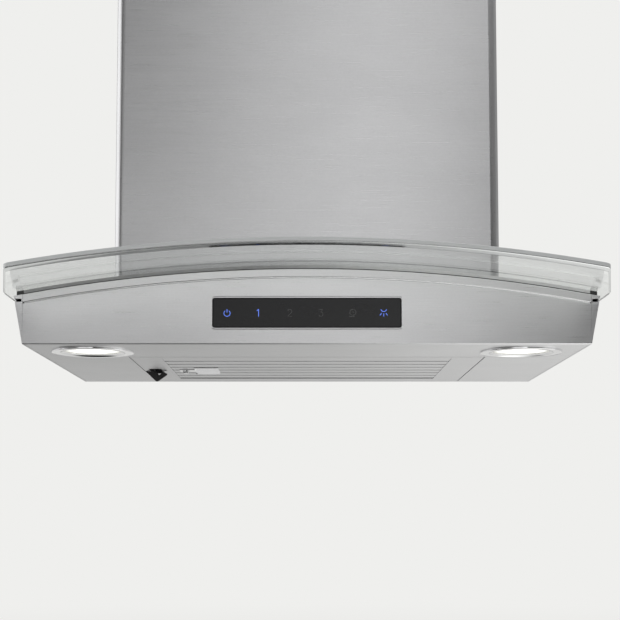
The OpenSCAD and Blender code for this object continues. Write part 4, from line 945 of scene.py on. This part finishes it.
def make_floor(settings):
    """A pale round floor below the hood that fades into the surround at its rim.

    In reflections it is darker under the hood's left half and brighter under its right half.
    """
    rows, count = 12, 96
    a = np.linspace(0, 2 * math.pi, count, endpoint=False)
    rings = np.linspace(0.02, 7.0, rows)
    points = np.stack([np.outer(rings, np.cos(a)), np.outer(rings, np.sin(a)),
                       np.full((rows, count), settings.floor_z)], 2).reshape(-1, 3)
    faces = list(grid_faces(rows, count, close_columns=True)) + [list(range(count))]
    mesh = bpy.data.meshes.new("floor")
    mesh.from_pydata(points.tolist(), [], [list(f) for f in faces])
    floor = bpy.data.objects.new("floor", mesh)
    bpy.context.scene.collection.objects.link(floor)
    material, tree = new_material("pale_floor")
    shown, seen = shown_rays(tree)
    place = object_place(tree)
    spot = parts_of(tree, place)
    reach = joined(tree, "LENGTH", joined(tree, "MULTIPLY", place, (1, 1, 0)))
    fade = smooth_step(tree, reach, 1.0, 6.5, 0.5, 1.0)
    below = combined(tree, "MINIMUM", smooth_step(tree, spot["Y"], 0.35, 0.0),
                     smooth_step(tree, spot["Y"], -2.4, -1.6))
    far = smooth_step(tree, spot["Y"], -1.6, -2.4)
    mirrored = blend(tree, far, 0.84, smooth_step(tree, spot["X"], 0.2, 0.6, 0.86, 0.05))
    mirrored = blend(tree, below, mirrored, smooth_step(tree, spot["X"], -0.15, 0.42, 0.0, 1.8))
    behind = combined(tree, "MINIMUM", smooth_step(tree, spot["Y"], 0.3, 0.5),
                      smooth_step(tree, spot["Y"], 1.2, 0.9))
    glint = combined(tree, "MULTIPLY", behind, smooth_step(tree, spot["X"], 0.0, 0.3, 0.0, 0.12))
    strength = blend(tree, seen, combined(tree, "ADD", mirrored, glint), 1.0)
    matt = add_node(tree, "ShaderNodeBsdfDiffuse", {"Color": linear("#DADAD8")})
    glow = add_node(tree, "ShaderNodeEmission", {"Color": settings.pale, "Strength": strength})
    mixed = add_node(tree, "ShaderNodeMixShader", {
        0: combined(tree, "MAXIMUM", combined(tree, "MULTIPLY", seen, fade),
                    combined(tree, "SUBTRACT", shown, seen)),
        1: matt.outputs["BSDF"], 2: glow.outputs["Emission"]})
    finish_surface(tree, mixed.outputs["Shader"])
    mesh.materials.append(material)


def soft_light(name, place, target, size, power):
    """A rectangular soft light at a place, turned to a target."""
    data = bpy.data.lights.new(name, "AREA")
    data.shape, data.size, data.size_y, data.energy = "RECTANGLE", size[0], size[1], power
    light = bpy.data.objects.new(name, data)
    light.location = place
    light.visible_glossy = False
    light.rotation_euler = (Vector(target) - Vector(place)).to_track_quat("-Z", "Y").to_euler()
    bpy.context.scene.collection.objects.link(light)


def make_camera(scene, settings):
    """Camera below and in front of the hood, looking up a little."""
    data = bpy.data.cameras.new("camera")
    data.lens, data.sensor_width = settings.lens, 36.0
    data.shift_x, data.shift_y = settings.sideways, settings.shift
    camera = bpy.data.objects.new("camera", data)
    camera.location = (0, -settings.camera_y, settings.camera_z)
    camera.rotation_euler = (math.pi / 2 + settings.tilt, 0, 0)
    scene.collection.objects.link(camera)
    scene.camera = camera
    scene.view_settings.view_transform = "Standard"


class HOOD_PT_panel(bpy.types.Panel):
    """Buttons that build the hood's finishes, with their sizes and colours"""

    bl_idname = "HOOD_PT_panel"
    bl_label = "Range Hood"
    bl_space_type = "VIEW_3D"
    bl_region_type = "UI"
    bl_category = "Range Hood"

    def draw(self, context):
        for operator in STEPS:
            self.layout.operator(operator.bl_idname)
        for name in GROUPS:
            box = self.layout.box()
            group = getattr(context.scene, name)
            for key in group.bl_rna.properties.keys():
                if key not in ("rna_type", "name"):
                    box.prop(group, key)


STEPS = [
    HOOD_OT_sheets, HOOD_OT_edges, HOOD_OT_seam, HOOD_OT_glass, HOOD_OT_lamps, HOOD_OT_signs,
    HOOD_OT_stage]
GROUPS = {
    "hood_steel": SteelSettings,
    "hood_glass": GlassSettings,
    "hood_panel": PanelSettings,
    "hood_stage": StageSettings,
}
CLASSES = [*GROUPS.values(), *STEPS, HOOD_PT_panel]


def register():
    for cls in CLASSES:
        bpy.utils.register_class(cls)
    for name, group in GROUPS.items():
        setattr(bpy.types.Scene, name, PointerProperty(type=group))


def unregister():
    for name in GROUPS:
        delattr(bpy.types.Scene, name)
    for cls in reversed(CLASSES):
        bpy.utils.unregister_class(cls)


def main():
    """Register the add-on and run its operators in order."""
    register()
    for operator in STEPS:
        family, action = operator.bl_idname.split(".")
        getattr(getattr(bpy.ops, family), action)()


if __name__ == "__main__":
    main()
